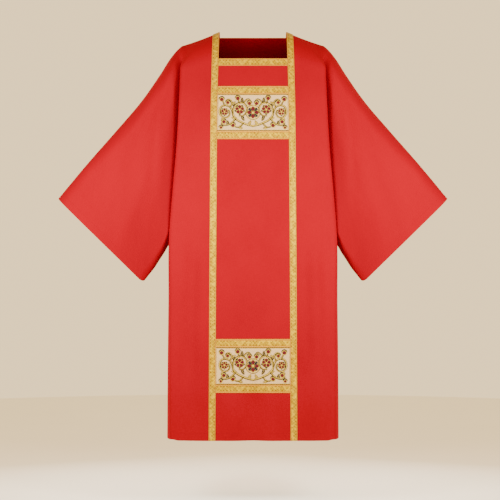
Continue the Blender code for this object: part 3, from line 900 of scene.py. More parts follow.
def red_cloth():
    """Plain-woven matte cloth with slight slubs and a soft nap."""
    look = bpy.context.scene.dalmatic_cloth
    finish = Finish(
        "red_woven_cloth",
        {
            "Sheen Weight": look.sheen,
            "Sheen Roughness": 0.5,
            "Sheen Tint": (1.0, 0.0, 0.02, 1.0),
            "Specular IOR Level": 0.015,
        },
    )
    vector, across, along = finish.lie()
    weave = finish.weave(across, along, look.thread)
    slubs = finish.noise(vector, (45.0, 1300.0, 1.0))
    ends = finish.noise(vector, (1300.0, 45.0, 1.0))
    threads = finish.math("ADD", slubs, ends)
    cloudy = finish.noise(vector, (9.0, 6.0, 1.0), 3.0)
    # Darker between the threads as painted shade, and in streaks and clouds of uneven yarn tone.
    light = finish.add(finish.times(threads, 0.42), (weave, 0.16), (cloudy, 0.5))
    finish.colour(finish.mix(finish.step(light, 0.10, 0.95), tuple(look.deep), tuple(look.colour)))
    finish.roughness(cloudy, low=0.62, high=0.78)
    height = finish.add(finish.times(weave, 0.5), (threads, 0.9))
    finish.bump(height, distance=0.00018, strength=0.35)
    return finish.material


def lattice_ground(finish, across, along):
    """1 on the ground of the braid's woven lattice, and 0 on its bars and its eyes."""
    phase = finish.math("FRACT", finish.math("DIVIDE", along, LATTICE))
    zigzag = finish.size(finish.add(-1.0, (phase, 2.0)))
    zigzag = finish.add(-LATTICE_SPAN, (zigzag, 2 * LATTICE_SPAN))
    first = finish.size(finish.math("SUBTRACT", across, zigzag))
    second = finish.size(finish.math("ADD", across, zigzag))
    nearest = finish.math("MINIMUM", first, second)
    half = finish.math("FRACT", finish.add(0.5, (phase, 2.0)))
    from_middle = finish.times(finish.math("SUBTRACT", half, 0.5), LATTICE / 2)
    eye = finish.math("ADD", finish.size(from_middle), finish.size(across))
    off_bars = finish.step(nearest, BAR - BAR_SOFT, BAR + BAR_SOFT)
    off_eyes = finish.step(eye, BAR - BAR_SOFT, BAR + BAR_SOFT)
    return finish.times(off_bars, off_eyes)


def gold_braid():
    """Two golds in a woven lattice between two plain borders, all crossed by fine ribs."""
    look = bpy.context.scene.dalmatic_braid
    finish = Finish("gold_woven_braid", {"Metallic": 0.25, "Specular IOR Level": 0.08})
    vector, across, along = finish.lie()
    ground = lattice_ground(finish, across, along)
    far = finish.size(across)
    edge = BRAID_WIDTH / 2 - BORDER
    border = finish.step(far, edge - BORDER_SOFT, edge + BORDER_SOFT)
    off_groove = finish.size(finish.math("SUBTRACT", far, edge))
    groove = finish.math("SUBTRACT", 1.0, finish.step(off_groove, *GROOVE))
    # Random darker mottling of the gold, painted shade.
    painted_shade_mottle = finish.noise(vector, (150.0, 220.0, 1.0), 3.0)
    # Random brighter patches of gold, painted sheen.
    patches = finish.noise(vector, (95.0, 95.0, 1.0), 1.0)
    ribs = finish.wave(along, look.rib)
    twill = finish.wave(finish.math("ADD", far, along), look.rib * TWILL)
    colour = finish.mix(ground, tuple(look.light), tuple(look.dark))
    patches = finish.times(finish.step(patches, 0.42, 0.66), 0.6)
    colour = finish.mix(patches, colour, tuple(look.painted_sheen))
    colour = finish.mix(border, colour, tuple(look.border))
    # Painted shade: the gold darkens in the groove and in the mottling, with faint stripes along the
    # ribs.
    shade = finish.add(finish.times(painted_shade_mottle, 0.35), (ribs, 0.09), (groove, 0.35))
    finish.colour(finish.mix(finish.step(shade, 0.0, 1.0), colour, (0.18, 0.078, 0.0)))
    finish.roughness(painted_shade_mottle, low=0.34, high=0.52)
    plain = finish.times(border, finish.times(twill, 0.5))
    height = finish.math("SUBTRACT", finish.add(plain, (ribs, 0.45), (ground, -0.9)), groove)
    finish.bump(height, distance=0.00025, strength=0.55)
    return finish.material


def cream_ground():
    """Cream cloth with a flecked plain weave."""
    look = bpy.context.scene.dalmatic_embroidery
    finish = Finish("cream_flecked_cloth", {"Sheen Weight": 0.2, "Specular IOR Level": 0.3})
    vector, across, along = finish.lie()
    weave = finish.weave(across, along, CREAM_THREAD)
    fleck = finish.noise(vector, (520.0, 620.0, 1.0), 4.0)
    pale = finish.mix(finish.step(fleck, 0.50, 0.72), tuple(look.ground), (0.55, 0.39, 0.19))
    finish.colour(finish.mix(finish.step(fleck, 0.46, 0.30), pale, (0.31, 0.19, 0.074)))
    finish.roughness(fleck, low=0.60, high=0.80)
    finish.bump(finish.add(weave, (fleck, 1.2)), distance=0.00018, strength=0.5)
    return finish.material


def thread_finish(name, colour, metallic, gloss):
    """Satin stitch: fine shining threads that lie side by side along the shape."""
    finish = Finish(name, {"Metallic": metallic, "Specular IOR Level": gloss})
    vector, _, along = finish.lie()
    threads = finish.wave(along, SATIN_THREAD)
    uneven = finish.noise(vector, (260.0, 1500.0, 1.0))
    # A shaded and a lit copy of the colour: darker between the threads as painted shade, lighter on
    # their crests as painted highlight, besides random uneven tone.
    shade = finish.add(uneven, (threads, 0.22))
    dark = tuple(part * 0.55 for part in colour)
    light = tuple(min(part * 1.25 + 0.01, 1.0) for part in colour)
    finish.colour(finish.mix(finish.step(shade, 0.15, 0.85), dark, light))
    finish.roughness(uneven, low=0.33, high=0.50)
    finish.bump(finish.add(threads, (uneven, 0.6)), distance=0.00012, strength=0.5)
    return finish.material


def stitch_finish(name, colour):
    """Sewing thread, twisted from two plies."""
    finish = Finish(name, {"Roughness": 0.6, "Sheen Weight": 0.05, "Specular IOR Level": 0.1})
    vector, across, along = finish.lie()
    ply = finish.wave(finish.math("ADD", across, along), SEWING_PLY)
    fuzz = finish.noise(vector, (900.0, 900.0, 1.0))
    # The colour darkens in the grooves of the twist as painted shade, and at random with the fuzz.
    dark = tuple(part * 0.6 for part in colour)
    shade = finish.add(fuzz, (ply, 0.25))
    finish.colour(finish.mix(finish.step(shade, 0.2, 0.8), dark, tuple(colour)))
    finish.bump(ply, distance=0.0001, strength=0.4)
    return finish.material


FINISHES = {}


def finish_of(name):
    """Each material is made once, when a piece first asks for it."""
    look = bpy.context.scene.dalmatic_embroidery
    makers = {
        # how it is made, its name and colour, and how metallic and how glossy it is
        "red cloth": (red_cloth,),
        "gold braid": (gold_braid,),
        "cream ground": (cream_ground,),
        "gold thread": (thread_finish, "gold_satin_thread", look.gold, 0.20, 0.15),
        "red thread": (thread_finish, "red_satin_thread", look.red, 0.0, 0.08),
        "charcoal thread": (thread_finish, "charcoal_satin_thread", look.charcoal, 0.0, 0.10),
        "olive thread": (stitch_finish, "olive_outline_thread", look.olive),
        "gold sewing": (stitch_finish, "gold_sewing_thread", (0.46, 0.28, 0.067)),
        "red sewing": (stitch_finish, "red_sewing_thread", (0.16, 0.0, 0.004)),
    }
    if name not in FINISHES:
        maker, *values = makers[name]
        FINISHES[name] = maker(*values)
    return FINISHES[name]


# ---- Cloth pieces ---------------------------------------------------------------------------


def cloth_piece(name, node, points, kept=None):
    """A piece of the red cloth, and the hem turned up inside its last rows."""
    normals = outward(points)
    lie = lie_of(points)
    cloth = finish_of("red cloth")
    piece = shell(name, points, points - normals * CLOTH_THICKNESS, lie, cloth, kept)
    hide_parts(node)
    from_hem = (lie[-1] - lie)[:, points.shape[1] // 2, 1]
    hem_rows = int((from_hem <= HEM_DEPTH + TINY).sum())
    top = points[-hem_rows:] - normals[-hem_rows:] * (CLOTH_THICKNESS + SEAM_GAP)
    inner = top - normals[-hem_rows:] * CLOTH_THICKNESS
    hem = shell(name + "_turned_hem", top, inner, lie[-hem_rows:], cloth)
    width, length, area = cut_of(points, kept)
    area += cut_of(top)[2]


def build_body():
    """The front and the back, each left open between the braids down to its neckline."""
    for name, side, neck_drop in (("front", 1, RIDGE_DROP), ("back", -1, BACK_NECK_DROP)):
        points = body_grid(side)
        middle = points.shape[1] // 2
        column = np.arange(points.shape[1] - 1)
        above = np.array(DROPS[1:]) <= neck_drop + TINY
        between = (column >= middle - MIDDLE_STEPS) & (column < middle + MIDDLE_STEPS)
        kept = ~(above[:, None] & between[None, :])
        cloth_piece(f"cloth_{name}", name, points, kept)


def build_sleeves():
    """Both sleeves, the right one a mirror image."""
    for name, mirror in (("left_sleeve", False), ("right_sleeve", True)):
        cloth_piece(f"cloth_{name}", name, sleeve_grid(mirror))


# ---- What is sewn on ------------------------------------------------------------------------


def on_body(side, x, drop):
    """Points of the body's middle, between the outer edges of the long braids."""
    x, drop = np.broadcast_arrays(x, drop)
    z = -drop - dip(x, drop)
    stand = read(BODY, "front" if side > 0 else "back", drop)
    off = (stand + lifted(side, x, z)) * ridge(drop)
    return np.stack([x, -side * off, z], axis=-1)


def off_body(side, x, drop, lift):
    """Points that lie so far off the body's middle, and the way out there."""
    above = np.maximum(drop - NORMAL_STEP, TINY)
    down = on_body(side, x, drop + NORMAL_STEP) - on_body(side, x, above)
    across = on_body(side, x + NORMAL_STEP, drop) - on_body(side, x - NORMAL_STEP, drop)
    normal = unit(np.cross(down, across)) * side
    return on_body(side, x, drop) + normal * np.asarray(lift)[..., None], normal


def relief(across, along, width):
    """How far the braid's borders and lattice stand up."""
    far = np.abs(across)
    edge = width / 2 - BORDER
    off_middle = (far - edge - BORDER / 2) / (BORDER / 2)
    border = np.sqrt(np.clip(1 - off_middle**2, 0, 1)) * (far > edge)
    zigzag = (np.abs((along / LATTICE) % 1 * 2 - 1) * 2 - 1) * LATTICE_SPAN
    nearest = np.minimum(np.abs(across - zigzag), np.abs(across + zigzag))
    lattice = (1 - smooth((nearest - BAR + BAR_INSIDE) / BAR_SLOPE)) * (far < edge)
    return border * BORDER_HEIGHT + lattice * LATTICE_HEIGHT


def braid_shares():
    """Where the points lie across the braid, from one edge to the other."""
    return np.concatenate([BRAID_COLUMNS, 1 - BRAID_COLUMNS[-2::-1]])


def braid_piece(name, node, base, width):
    """Braid laid on a grid of places on the body, whose rows run along it."""
    lie = lie_of(base)
    lie[..., 1] = lie[:, [base.shape[1] // 2], 1]  # a woven tape's pattern runs straight across it
    high = relief(lie[..., 0], lie[..., 1], width)
    from_edge = np.minimum(braid_shares(), 1 - braid_shares()) * width
    edge_round = np.sqrt(np.clip(from_edge / (BRAID_THICKNESS / 2), 0, 1))
    thickness = BRAID_THICKNESS * (BRAID_EDGE + (1 - BRAID_EDGE) * edge_round)
    lift = SEAM_GAP + thickness[None, :] + high
    normals = outward(base)
    outer = base + normals * lift[..., None]
    inner = base + normals * SEAM_GAP
    piece = shell(name, outer, inner, lie, finish_of("gold braid"))
    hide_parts(node)


def braid_run(side, share, sign):
    """Drops down one side, a braid step apart along the cloth, from the ridge to the hem."""
    rounding, below = RUN_SAMPLES
    over = RIDGE_DROP * (1 - np.cos(np.linspace(0, math.pi / 2, rounding)))
    fine = np.concatenate([over, np.linspace(RIDGE_DROP, LENGTH, below)[1:]])
    x = sign * (braid_inner(fine) + BRAID_WIDTH * share)
    line = on_body(side, x, fine)
    run = run_of(line)
    count = math.ceil(run[-1] / BRAID_STEP)
    return np.interp(np.linspace(0, run[-1], count + 1), run, fine)


def build_long_braids():
    """Both long braids, from the back hem over the shoulder to the front hem."""
    shares = braid_shares()
    for name, sign in (("left_braid", 1), ("right_braid", -1)):
        grids = []
        for side in (-1, 1):
            drops = braid_run(side, 0.5, sign)[:, None]
            columns = shares if sign > 0 else shares[::-1]
            x = sign * (braid_inner(drops) + BRAID_WIDTH * columns[None, :])
            base = on_body(side, x, drops)
            grids.append(base[::-1] if side < 0 else base[1:])
        base = np.concatenate(grids)
        braid_piece(f"gold_{name}", name, base, BRAID_WIDTH)


def band_grid(side, top, bottom):
    """Places on the body for a piece that runs across from one long braid to the other."""
    steps = math.ceil(2 * NECK_X / BRAID_STEP)
    inset = SEAM_GAP / 2
    drops = top + inset + (bottom - top - 2 * inset) * braid_shares()[::-1]
    shares = np.linspace(-1, 1, steps + 1)[:, None]
    x = side * shares * (braid_inner(drops) - SEAM_GAP)[None, :]
    return on_body(side, x, drops)


UPPER_PANEL_DROP = UPPER_GROUP_DROP + BAND_WIDTH
LOWER_PANEL_DROP = LOWER_GROUP_DROP + BAND_WIDTH
BANDS = (
    # name, side, drop at its top, height
    ("front_neck_band", 1, RIDGE_DROP, NECK_BAND_WIDTH),
    ("back_neck_band", -1, BACK_NECK_DROP, BACK_BAND_DROP - BACK_NECK_DROP),
    ("band_above_upper_panel", 1, UPPER_GROUP_DROP, BAND_WIDTH),
    ("band_below_upper_panel", 1, UPPER_PANEL_DROP + PANEL_HEIGHT, BAND_WIDTH),
    ("band_above_lower_panel", 1, LOWER_GROUP_DROP, BAND_WIDTH),
    ("band_below_lower_panel", 1, LOWER_PANEL_DROP + PANEL_HEIGHT, BAND_WIDTH),
)
PANELS = (("upper_panel", UPPER_PANEL_DROP), ("lower_panel", LOWER_PANEL_DROP))


def build_bands():
    """The bands that run across, between the long braids."""
    for name, side, top, height in BANDS:
        base = band_grid(side, top, top + height)
        width = steps_of(base[0]).sum()
        braid_piece(f"gold_{name}", name, base, width)


def panel_places(top, across, up, lift):
    """Points so far off a panel's cloth, across and up from its centre, and the way out there."""
    drop = top + PANEL_HEIGHT / 2 - up
    return off_body(1, across, drop, SEAM_GAP + GROUND_THICKNESS + lift)


def build_panels():
    """The cream cloth of both panels."""
    for name, top in PANELS:
        rows, columns = PANEL_SAMPLES
        drops = np.linspace(top + SEAM_GAP / 2, top + PANEL_HEIGHT - SEAM_GAP / 2, rows)[:, None]
        x = np.linspace(-1, 1, columns)[None, :] * (braid_inner(drops) - SEAM_GAP)
        base = on_body(1, x, drops)
        normals = outward(base)
        outer = base + normals * (SEAM_GAP + GROUND_THICKNESS)
        inner = base + normals * SEAM_GAP
        cream = finish_of("cream ground")
        piece = shell(f"cream_{name}", outer, inner, lie_of(base), cream)
        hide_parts(name)
        width, length, area = cut_of(base)


# ---- Embroidery -----------------------------------------------------------------------------


def smooth_path(points, step):
    """A smooth line through the points, as places a step apart."""
    points = np.asarray(points, float)
    run = run_of(points)
    slopes = np.gradient(points, run, axis=0)
    at = np.linspace(0, run[-1], int(run[-1] / step) + 1)
    row = np.clip(np.searchsorted(run, at) - 1, 0, len(run) - 2)
    gap = run[row + 1] - run[row]
    t = (at - run[row]) / gap
    start, end = slopes[row].T * gap, slopes[row + 1].T * gap
    return hermite(points[row].T, start, points[row + 1].T, end, t).T


def satin(heap, top, spine, half_widths, height):
    """A padded shape along a spine, its threads lying across it."""
    ways = unit(np.gradient(spine, axis=0))
    aside = np.stack([-ways[:, 1], ways[:, 0]], axis=1)
    across = np.linspace(-1, 1, SATIN_COLUMNS)
    flat = spine[:, None] + aside[:, None] * (across * half_widths[:, None])[..., None]
    middle_height = np.minimum(height, half_widths * FATTEST)[:, None]
    rise = np.sqrt(1 - SATIN_DROP * across**2) * middle_height
    points, _ = panel_places(top, flat[..., 0], flat[..., 1], rise - SUNK)
    lie = together(across * SATIN_LIE, run_of(spine)[:, None], 0.0)
    heap.add(points, lie, cells_of(*points.shape[:2])[..., ::-1])
    return flat[:, 0], flat[:, -1]


def turn_of(count):
    """The angles of so many points spread over a full turn."""
    return np.arange(count) * 2 * math.pi / count


def cord(heap, top, line, radius, closed=False, lift=0.0):
    """A thin twisted thread laid along a line of places on a panel, so far above its cloth."""
    angles = turn_of(CORD_SIDES)
    middle, normal = panel_places(top, line[:, 0], line[:, 1], radius * CORD_LIFT + lift)
    if closed:
        way = unit(np.roll(middle, -1, axis=0) - np.roll(middle, 1, axis=0))
    else:
        way = unit(np.gradient(middle, axis=0))
    aside = np.cross(way, normal)
    run = run_of(middle)[:, None]
    swell = radius * (1 + CORD_SWELL * np.cos(2 * angles - 2 * math.pi * run / CORD_TWIST))
    ring = (np.cos(angles) * swell)[..., None] * aside[:, None]
    ring = ring + (np.sin(angles) * swell)[..., None] * normal[:, None]
    index = np.arange(swell.size).reshape(swell.shape)
    index = np.concatenate([index, index[:1]]) if closed else index
    heap.add(middle[:, None] + ring, together(angles * radius, run, 0.0), ring_cells(index))


def leaf_widths(count, width, fullest):
    """Half widths of a pointed shape along its spine, widest nearer its tip as fullest rises."""
    t = np.linspace(0, 1, count)
    bulge = np.sin(math.pi * t**fullest) ** BULGE
    return np.maximum(width / 2 * bulge, FINEST)


def bent_spine(x, y, angle, length, bend, count):
    """The spine of a leaf or a petal, its middle bent aside by a share of its length."""
    way = np.array((math.cos(angle), math.sin(angle)))
    aside = np.array((-way[1], way[0]))
    t = np.linspace(0, 1, count)[:, None]
    return np.array((x, y)) + length * (way * t + aside * bend * t * (1 - t) * 4)


def dome(heap, top, x, y, radius, height):
    """A round padded shape, its threads lying round it."""
    out = np.sin(np.linspace(0, math.pi / 2, DOME_RINGS))[1:, None]
    around = turn_of(DOME_SEGMENTS)
    rise = height * np.sqrt(np.clip(1 - out**2, 0, 1))
    places = (x + radius * out * np.cos(around), y + radius * out * np.sin(around))
    points, _ = panel_places(top, *places, rise - SUNK)
    crown, _ = panel_places(top, np.array([x]), np.array([y]), height - SUNK)
    lie = together(out * radius, around * radius, 0.0)
    index = 1 + np.arange(out.size * DOME_SEGMENTS).reshape(-1, DOME_SEGMENTS)
    cap = np.stack([0 * index[0], index[0], np.roll(index[0], -1)], axis=1)
    points = np.concatenate([crown, points.reshape(-1, 3)])
    lie = np.concatenate([np.zeros((1, 3)), lie.reshape(-1, 3)])
    heap.add(points, lie, ring_cells(index)[..., [0, 3, 2, 1]], cap)


def circle(x, y, radius, count):
    """Points round a circle, a row for each."""
    around = turn_of(count)
    return np.stack([x + radius * np.cos(around), y + radius * np.sin(around)], axis=1)


class Needlework:
    """The threads of one panel, gathered by colour."""

    def __init__(self, top):
        self.top = top
        self.height = bpy.context.scene.dalmatic_embroidery.relief
        self.heaps = {name: Heap() for name in ("gold", "red", "charcoal", "olive")}

    def thread(self, colour, line, radius, **how):
        """A cord of this colour along a line."""
        cord(self.heaps[colour], self.top, line, radius, **how)

    def shape(self, colour, spine, half_widths, edging=(), height=1.0):
        """A padded shape, with a thread of this colour and radius along each edge."""
        edges = satin(self.heaps[colour], self.top, spine, half_widths, self.height * height)
        for edge, (thread, radius) in zip(edges, edging):
            self.thread(thread, edge, radius)

    def knot(self, colour, x, y, radius, height=1.0):
        """A round padded shape."""
        dome(self.heaps[colour], self.top, x, y, radius, self.height * height)

    def leaf(self, x, y, degrees, length, width, dark, mirror):
        angle = math.radians(180 - degrees if mirror < 0 else degrees)
        bend = LEAF_BEND * mirror
        spine = bent_spine(x * mirror * MM, y * MM, angle, length * MM, bend, LEAF_STEPS)
        widths = leaf_widths(LEAF_STEPS, width * MM, LEAF_FULLEST)
        self.shape("charcoal" if dark else "gold", spine, widths, OLIVE_EDGES)
        self.thread("gold" if dark else "olive", spine[VEIN], THIN, lift=self.height - THIN)

    def stem(self, root, middle, tip, places, mirror):
        line = smooth_path(np.array(places) * (mirror * MM, MM), STEM_STEP)
        widths = np.interp(np.linspace(0, 1, len(line)), (0, STEM_FULLEST, 1), (root, middle, tip))
        self.shape("gold", line, widths / 2 * MM, STEM_EDGES[::mirror])
        self.knot("gold", *line[-1], STEM_KNOT * tip * MM)

    def berry(self, x, y, radius, mirror):
        """A red berry in a gold ring, with a dark crescent over it."""
        x, y, radius = x * mirror * MM, y * MM, radius * MM
        self.knot("red", x, y, radius, height=1.3)
        self.thread("gold", circle(x, y, radius + RING / 2, RING_STEPS), RING, closed=True)
        crescent = circle(x, y, radius + CRESCENT_OUT, RING_STEPS)[:CRESCENT_STEPS]
        self.shape("charcoal", crescent, leaf_widths(CRESCENT_STEPS, CRESCENT_WIDTH, 1.0))

    def petal(self, kind, x, y, angle, reach):
        """A petal of a flower at x, y that reaches so far from its middle."""
        colour, start, end, width, fullest, edging, height = PETALS[kind]
        root = (x + start * reach * math.cos(angle), y + start * reach * math.sin(angle))
        spine = bent_spine(*root, angle, (end - start) * reach, 0.0, PETAL_STEPS)
        self.shape(colour, spine, leaf_widths(PETAL_STEPS, width * reach, fullest), edging, height)

    def flower(self, x, y, radius, petals, mirror):
        """Red petals over dark sepals, with a small gold eye."""
        x, y, reach = x * mirror * MM, y * MM, radius * MM
        for turn in turn_of(petals):
            self.petal("sepal", x, y, math.pi / 2 + turn + math.pi / petals, reach)
            self.petal("flower", x, y, math.pi / 2 + turn, reach)
        self.knot("gold", x, y, FLOWER_EYE * reach, height=1.7)

    def rosette(self):
        """Red petals over dark ones in a gold ring, at the panel's centre."""
        reach = ROSETTE_RADIUS * MM
        for number, angle in enumerate(turn_of(ROSETTE_PETALS)):
            self.petal("dark rosette" if number % 2 else "red rosette", 0.0, 0.0, angle, reach)
            place = circle(0.0, 0.0, KNOTS_OUT * reach, 2 * ROSETTE_PETALS)[2 * number + 1]
            self.knot("gold", *place, ROSETTE_KNOT)
        self.knot("gold", 0.0, 0.0, ROSETTE_EYE * reach, height=1.9)
        for radius, thread, thickness in ROSETTE_RINGS:
            line = circle(0.0, 0.0, radius * reach, ROSETTE_STEPS)
            self.thread(thread, line, thickness, closed=True)

    def edge_lines(self):
        """Threads couched along the four edges: gold inside, and olive along the top and bottom."""
        along, down = EDGE_SAMPLES
        centre = self.top + PANEL_HEIGHT / 2
        lines = ((EDGE_LINE_INSET, "gold", (1, -1)), (EDGING_INSET, "olive", ()))
        for inset, thread, signs in lines:
            up = PANEL_HEIGHT / 2 - inset
            for y in (up, -up):
                half = braid_inner(centre - y) - inset
                self.thread(thread, together(np.linspace(-half, half, along), y), THIN)
            y = np.linspace(-up, up, down)
            half = braid_inner(centre - y) - inset
            for sign in signs:
                self.thread(thread, together(sign * half, y), THIN)


def build_embroidery():
    """The same design on both panels, one piece for each colour on each of them."""
    for name, top in PANELS:
        work = Needlework(top)
        work.rosette()
        work.edge_lines()
        work.knot("gold", 0.0, STEMS[0][3][1] * MM, ROOT_KNOT, height=1.4)
        for mirror in (1, -1):
            for root, middle, tip, *places in STEMS:
                work.stem(root, middle, tip, places, mirror)
            for shape, rows in ((work.leaf, LEAVES), (work.berry, BERRIES), (work.flower, FLOWERS)):
                for row in rows:
                    shape(*row, mirror)
        for colour, heap in work.heaps.items():
            finish = finish_of(f"{colour} thread")
            heap.piece(f"{name}_{colour}_embroidery", finish, "embroidered_panel")


# ---- Stitching and edgings ------------------------------------------------------------------


def stitches(heap, line, normals, pitch):
    """Small stitches along a line of points, each a short spindle that lies on the cloth."""
    run = run_of(line)
    starts = np.arange(pitch / 2, run[-1] - STITCH_LENGTH, pitch)
    shares, thickness = np.array(STITCH_SHAPE).T
    at = starts[:, None] + shares * STITCH_LENGTH
    middle = np.stack([np.interp(at, run, line[:, k]) for k in range(3)], axis=2)
    normal = unit(np.stack([np.interp(at, run, normals[:, k]) for k in range(3)], axis=2))
    way = unit(middle[:, -1:] - middle[:, :1])
    aside = np.cross(np.broadcast_to(way, middle.shape), normal)
    angles = turn_of(STITCH_SIDES)[:, None]
    around = np.cos(angles) * aside[:, :, None] + np.sin(angles) * normal[:, :, None]
    points = middle[:, :, None] + around * (thickness * STITCH_RADIUS)[:, None, None]
    lie = together(angles[:, 0] * STITCH_RADIUS, at[:, :, None], 0.0)
    index = np.arange(points[..., 0].size).reshape(points.shape[:3])
    heap.add(points, lie, ring_cells(index))


def braid_edges():
    """The side, the places across and the drops of each line that the braid is sewn down along."""
    for sign in (1, -1):
        for side in (1, -1):
            for edge in (STITCH_INSET, BRAID_WIDTH - STITCH_INSET):
                drops = braid_run(side, edge / BRAID_WIDTH, sign)
                yield side, sign * (braid_inner(drops) + edge), drops
    for _, side, top, height in BANDS:
        for drop in (top + STITCH_INSET, top + height - STITCH_INSET):
            yield side, np.linspace(-1, 1, BAND_SAMPLES) * braid_inner(drop), drop


def build_braid_stitching():
    """A row of stitches along each edge of the braid."""
    gold = Heap()
    for side, x, drops in braid_edges():
        lift = SEAM_GAP + BRAID_THICKNESS + BORDER_HEIGHT
        stitches(gold, *off_body(side, x, drops, lift), STITCH_PITCH)
    gold.piece("braid_stitching", finish_of("gold sewing"), "gold_braid")


def build_hem_stitching():
    """A row of stitches that holds the turned hem and cuffs."""
    red = Heap()
    for points in (body_grid(1), body_grid(-1), sleeve_grid(False), sleeve_grid(True)):
        depth = (lie_of(points)[-1] - lie_of(points))[..., 1]
        rows = np.arange(len(points))
        line = []
        for column in range(points.shape[1]):
            row = np.interp(HEM_DEPTH - HEM_STITCH_INSET, depth[::-1, column], rows[::-1])
            low = int(row)
            share = row - low
            line.append(points[low, column] * (1 - share) + points[low + 1, column] * share)
        stitches(red, np.array(line), outward(points)[HEM_STITCH_ROW], HEM_STITCH_PITCH)
    red.piece("hem_stitching", finish_of("red sewing"), "red_cloth")


def build_stitching():
    build_braid_stitching()
    build_hem_stitching()


# ---- Stage ----------------------------------------------------------------------------------

GARMENT_FRONT = -0.145
FLOOR_STEPS = 128
FLOOR_SHADE = 0.96


def build_floor(look):
    """A round, slightly mottled floor, well below the hem."""
    finish = Finish("pale_floor", {"Specular IOR Level": 0.2})
    place = finish.node("TexCoord", {}).outputs["Object"]
    mottle = finish.noise(place, (3.0, 3.0, 3.0), 4.0)
    darker = tuple(part * FLOOR_SHADE for part in look.floor)
    finish.colour(finish.mix(mottle, tuple(look.floor), darker))
    finish.roughness(mottle, low=0.75, high=0.9)
    rim = circle(0.0, 0.0, look.floor_radius, FLOOR_STEPS)
    height = -LENGTH - look.floor_drop
    mesh = bpy.data.meshes.new("floor")
    mesh.from_pydata([(x, y, height) for x, y in rim.tolist()], [], [range(FLOOR_STEPS)])
    mesh.materials.append(finish.material)
    placed("floor", mesh)


def build_world(look):
    """The even light that comes from all round."""
    world = bpy.data.worlds.new("studio")
    world.use_nodes = True
    background = world.node_tree.nodes["Background"]
    background.inputs["Color"].default_value = (*look.wall, 1.0)
    background.inputs["Strength"].default_value = look.ambient
    bpy.context.scene.world = world


LAMPS = (
    # name, place across and in depth, and the place that it points at
    ("key_left", (-0.68, -0.86), (-0.34, -0.1)),
    ("key_right", (0.68, -0.86), (0.34, -0.1)),
    ("rear_left", (-0.68, 0.885), (-0.34, 0.1)),
    ("rear_right", (0.68, 0.885), (0.34, 0.1)),
)
LAMP_HEIGHT = -0.495
LAMP_SIZE = 0.5
LAMP_WATTS = 21.8


def build_lights(look):
    """Two round lamps in front and two behind, which the camera doesn't see."""
    for name, place, target in LAMPS:
        light = bpy.data.lights.new(name, "AREA")
        light.shape = "DISK"
        light.size = LAMP_SIZE
        light.energy = LAMP_WATTS * look.lamps
        light.color = look.lamp
        place = Vector((*place, LAMP_HEIGHT))
        way = Vector((*target, LAMP_HEIGHT)) - place
        lamp = placed(name, light)
        lamp.location = place
        lamp.visible_camera = False
        lamp.rotation_euler = way.to_track_quat("-Z", "Y").to_euler()


def build_camera(look):
    """A level camera that sees a view of the chosen width at the garment's front."""
    camera = bpy.data.cameras.new("camera")
    camera.sensor_width = 36.0
    camera.lens = camera.sensor_width * look.distance / look.width
    holder = placed("camera", camera)
    holder.location = (look.aside, GARMENT_FRONT - look.distance, look.height)
    holder.rotation_euler = (math.pi / 2, 0.0, 0.0)
    bpy.context.scene.camera = holder


def build_stage():
    look = bpy.context.scene.dalmatic_stage
    build_camera(look)
    build_world(look)
    build_lights(look)
    build_floor(look)


# ---- Operators and panel --------------------------------------------------------------------


class DALMATIC_OT_stage(Operator):
    """Set up the camera, the light all round, the lamps and the floor"""

    bl_idname = "dalmatic.stage"
    bl_label = "Stage"
    bl_options = {"REGISTER", "UNDO"}

    def execute(self, context):
        build_stage()
        return {"FINISHED"}


class DALMATIC_OT_body(Operator):
    """Drape the front and the back, with their hems turned up"""

    bl_idname = "dalmatic.body"
    bl_label = "Front and back"
    bl_options = {"REGISTER", "UNDO"}

    def execute(self, context):
        build_body()
        return {"FINISHED"}


class DALMATIC_OT_sleeves(Operator):
    """Drape both sleeves, with their cuffs turned in"""

    bl_idname = "dalmatic.sleeves"
    bl_label = "Sleeves"
    bl_options = {"REGISTER", "UNDO"}

    def execute(self, context):
        build_sleeves()
        return {"FINISHED"}


class DALMATIC_OT_long_braids(Operator):
    """Lay the two long braids over the shoulders, from hem to hem"""

    bl_idname = "dalmatic.long_braids"
    bl_label = "Long braids"
    bl_options = {"REGISTER", "UNDO"}

    def execute(self, context):
        build_long_braids()
        return {"FINISHED"}


class DALMATIC_OT_bands(Operator):
    """Lay the bands of braid across, at the neck and round both panels"""

    bl_idname = "dalmatic.bands"
    bl_label = "Bands"
    bl_options = {"REGISTER", "UNDO"}

    def execute(self, context):
        build_bands()
        return {"FINISHED"}


class DALMATIC_OT_panels(Operator):
    """Lay the cream cloth of both panels"""

    bl_idname = "dalmatic.panels"
    bl_label = "Panels"
    bl_options = {"REGISTER", "UNDO"}

    def execute(self, context):
        build_panels()
        return {"FINISHED"}


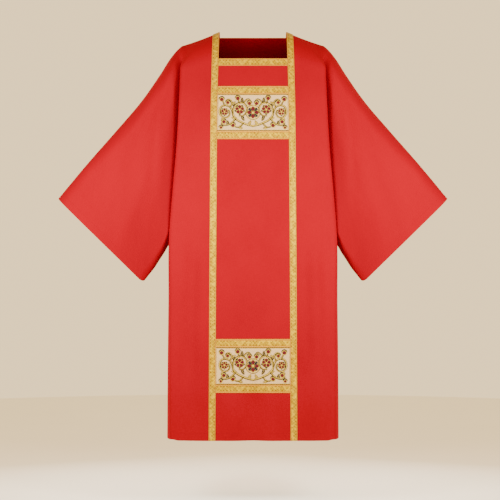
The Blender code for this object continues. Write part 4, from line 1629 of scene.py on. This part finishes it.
class DALMATIC_OT_embroidery(Operator):
    """Work the stems, leaves, berries and flowers on both panels"""

    bl_idname = "dalmatic.embroidery"
    bl_label = "Embroidery"
    bl_options = {"REGISTER", "UNDO"}

    def execute(self, context):
        build_embroidery()
        return {"FINISHED"}


class DALMATIC_OT_stitching(Operator):
    """Sew down the braid, the hem and the cuffs"""

    bl_idname = "dalmatic.stitching"
    bl_label = "Stitching"
    bl_options = {"REGISTER", "UNDO"}

    def execute(self, context):
        build_stitching()
        return {"FINISHED"}


OPERATORS = (
    DALMATIC_OT_stage,
    DALMATIC_OT_body,
    DALMATIC_OT_sleeves,
    DALMATIC_OT_long_braids,
    DALMATIC_OT_bands,
    DALMATIC_OT_panels,
    DALMATIC_OT_embroidery,
    DALMATIC_OT_stitching,
)
GROUPS = {
    "dalmatic_cloth": DalmaticCloth,
    "dalmatic_braid": DalmaticBraid,
    "dalmatic_embroidery": DalmaticEmbroidery,
    "dalmatic_stage": DalmaticStage,
}


class DALMATIC_PT_sidebar(Panel):
    """Lists the sizes, the colours and the operators"""

    bl_idname = "DALMATIC_PT_sidebar"
    bl_label = "Dalmatic"
    bl_space_type = "VIEW_3D"
    bl_region_type = "UI"
    bl_category = "Dalmatic"

    def draw(self, context):
        for name, group in GROUPS.items():
            box = self.layout.box()
            box.label(text=group.__doc__)
            for key in group.__annotations__:
                box.prop(getattr(context.scene, name), key)
        for operator in OPERATORS:
            self.layout.operator(operator.bl_idname)


CLASSES = (*GROUPS.values(), *OPERATORS, DALMATIC_PT_sidebar)


def register():
    for made in CLASSES:
        bpy.utils.register_class(made)
    for name, group in GROUPS.items():
        setattr(bpy.types.Scene, name, PointerProperty(type=group))


def unregister():
    for name in GROUPS:
        delattr(bpy.types.Scene, name)
    for made in reversed(CLASSES):
        bpy.utils.unregister_class(made)


def main():
    register()
    bpy.ops.dalmatic.stage()
    bpy.ops.dalmatic.body()
    bpy.ops.dalmatic.sleeves()
    bpy.ops.dalmatic.long_braids()
    bpy.ops.dalmatic.bands()
    bpy.ops.dalmatic.panels()
    bpy.ops.dalmatic.embroidery()
    bpy.ops.dalmatic.stitching()


if __name__ == "__main__":
    main()
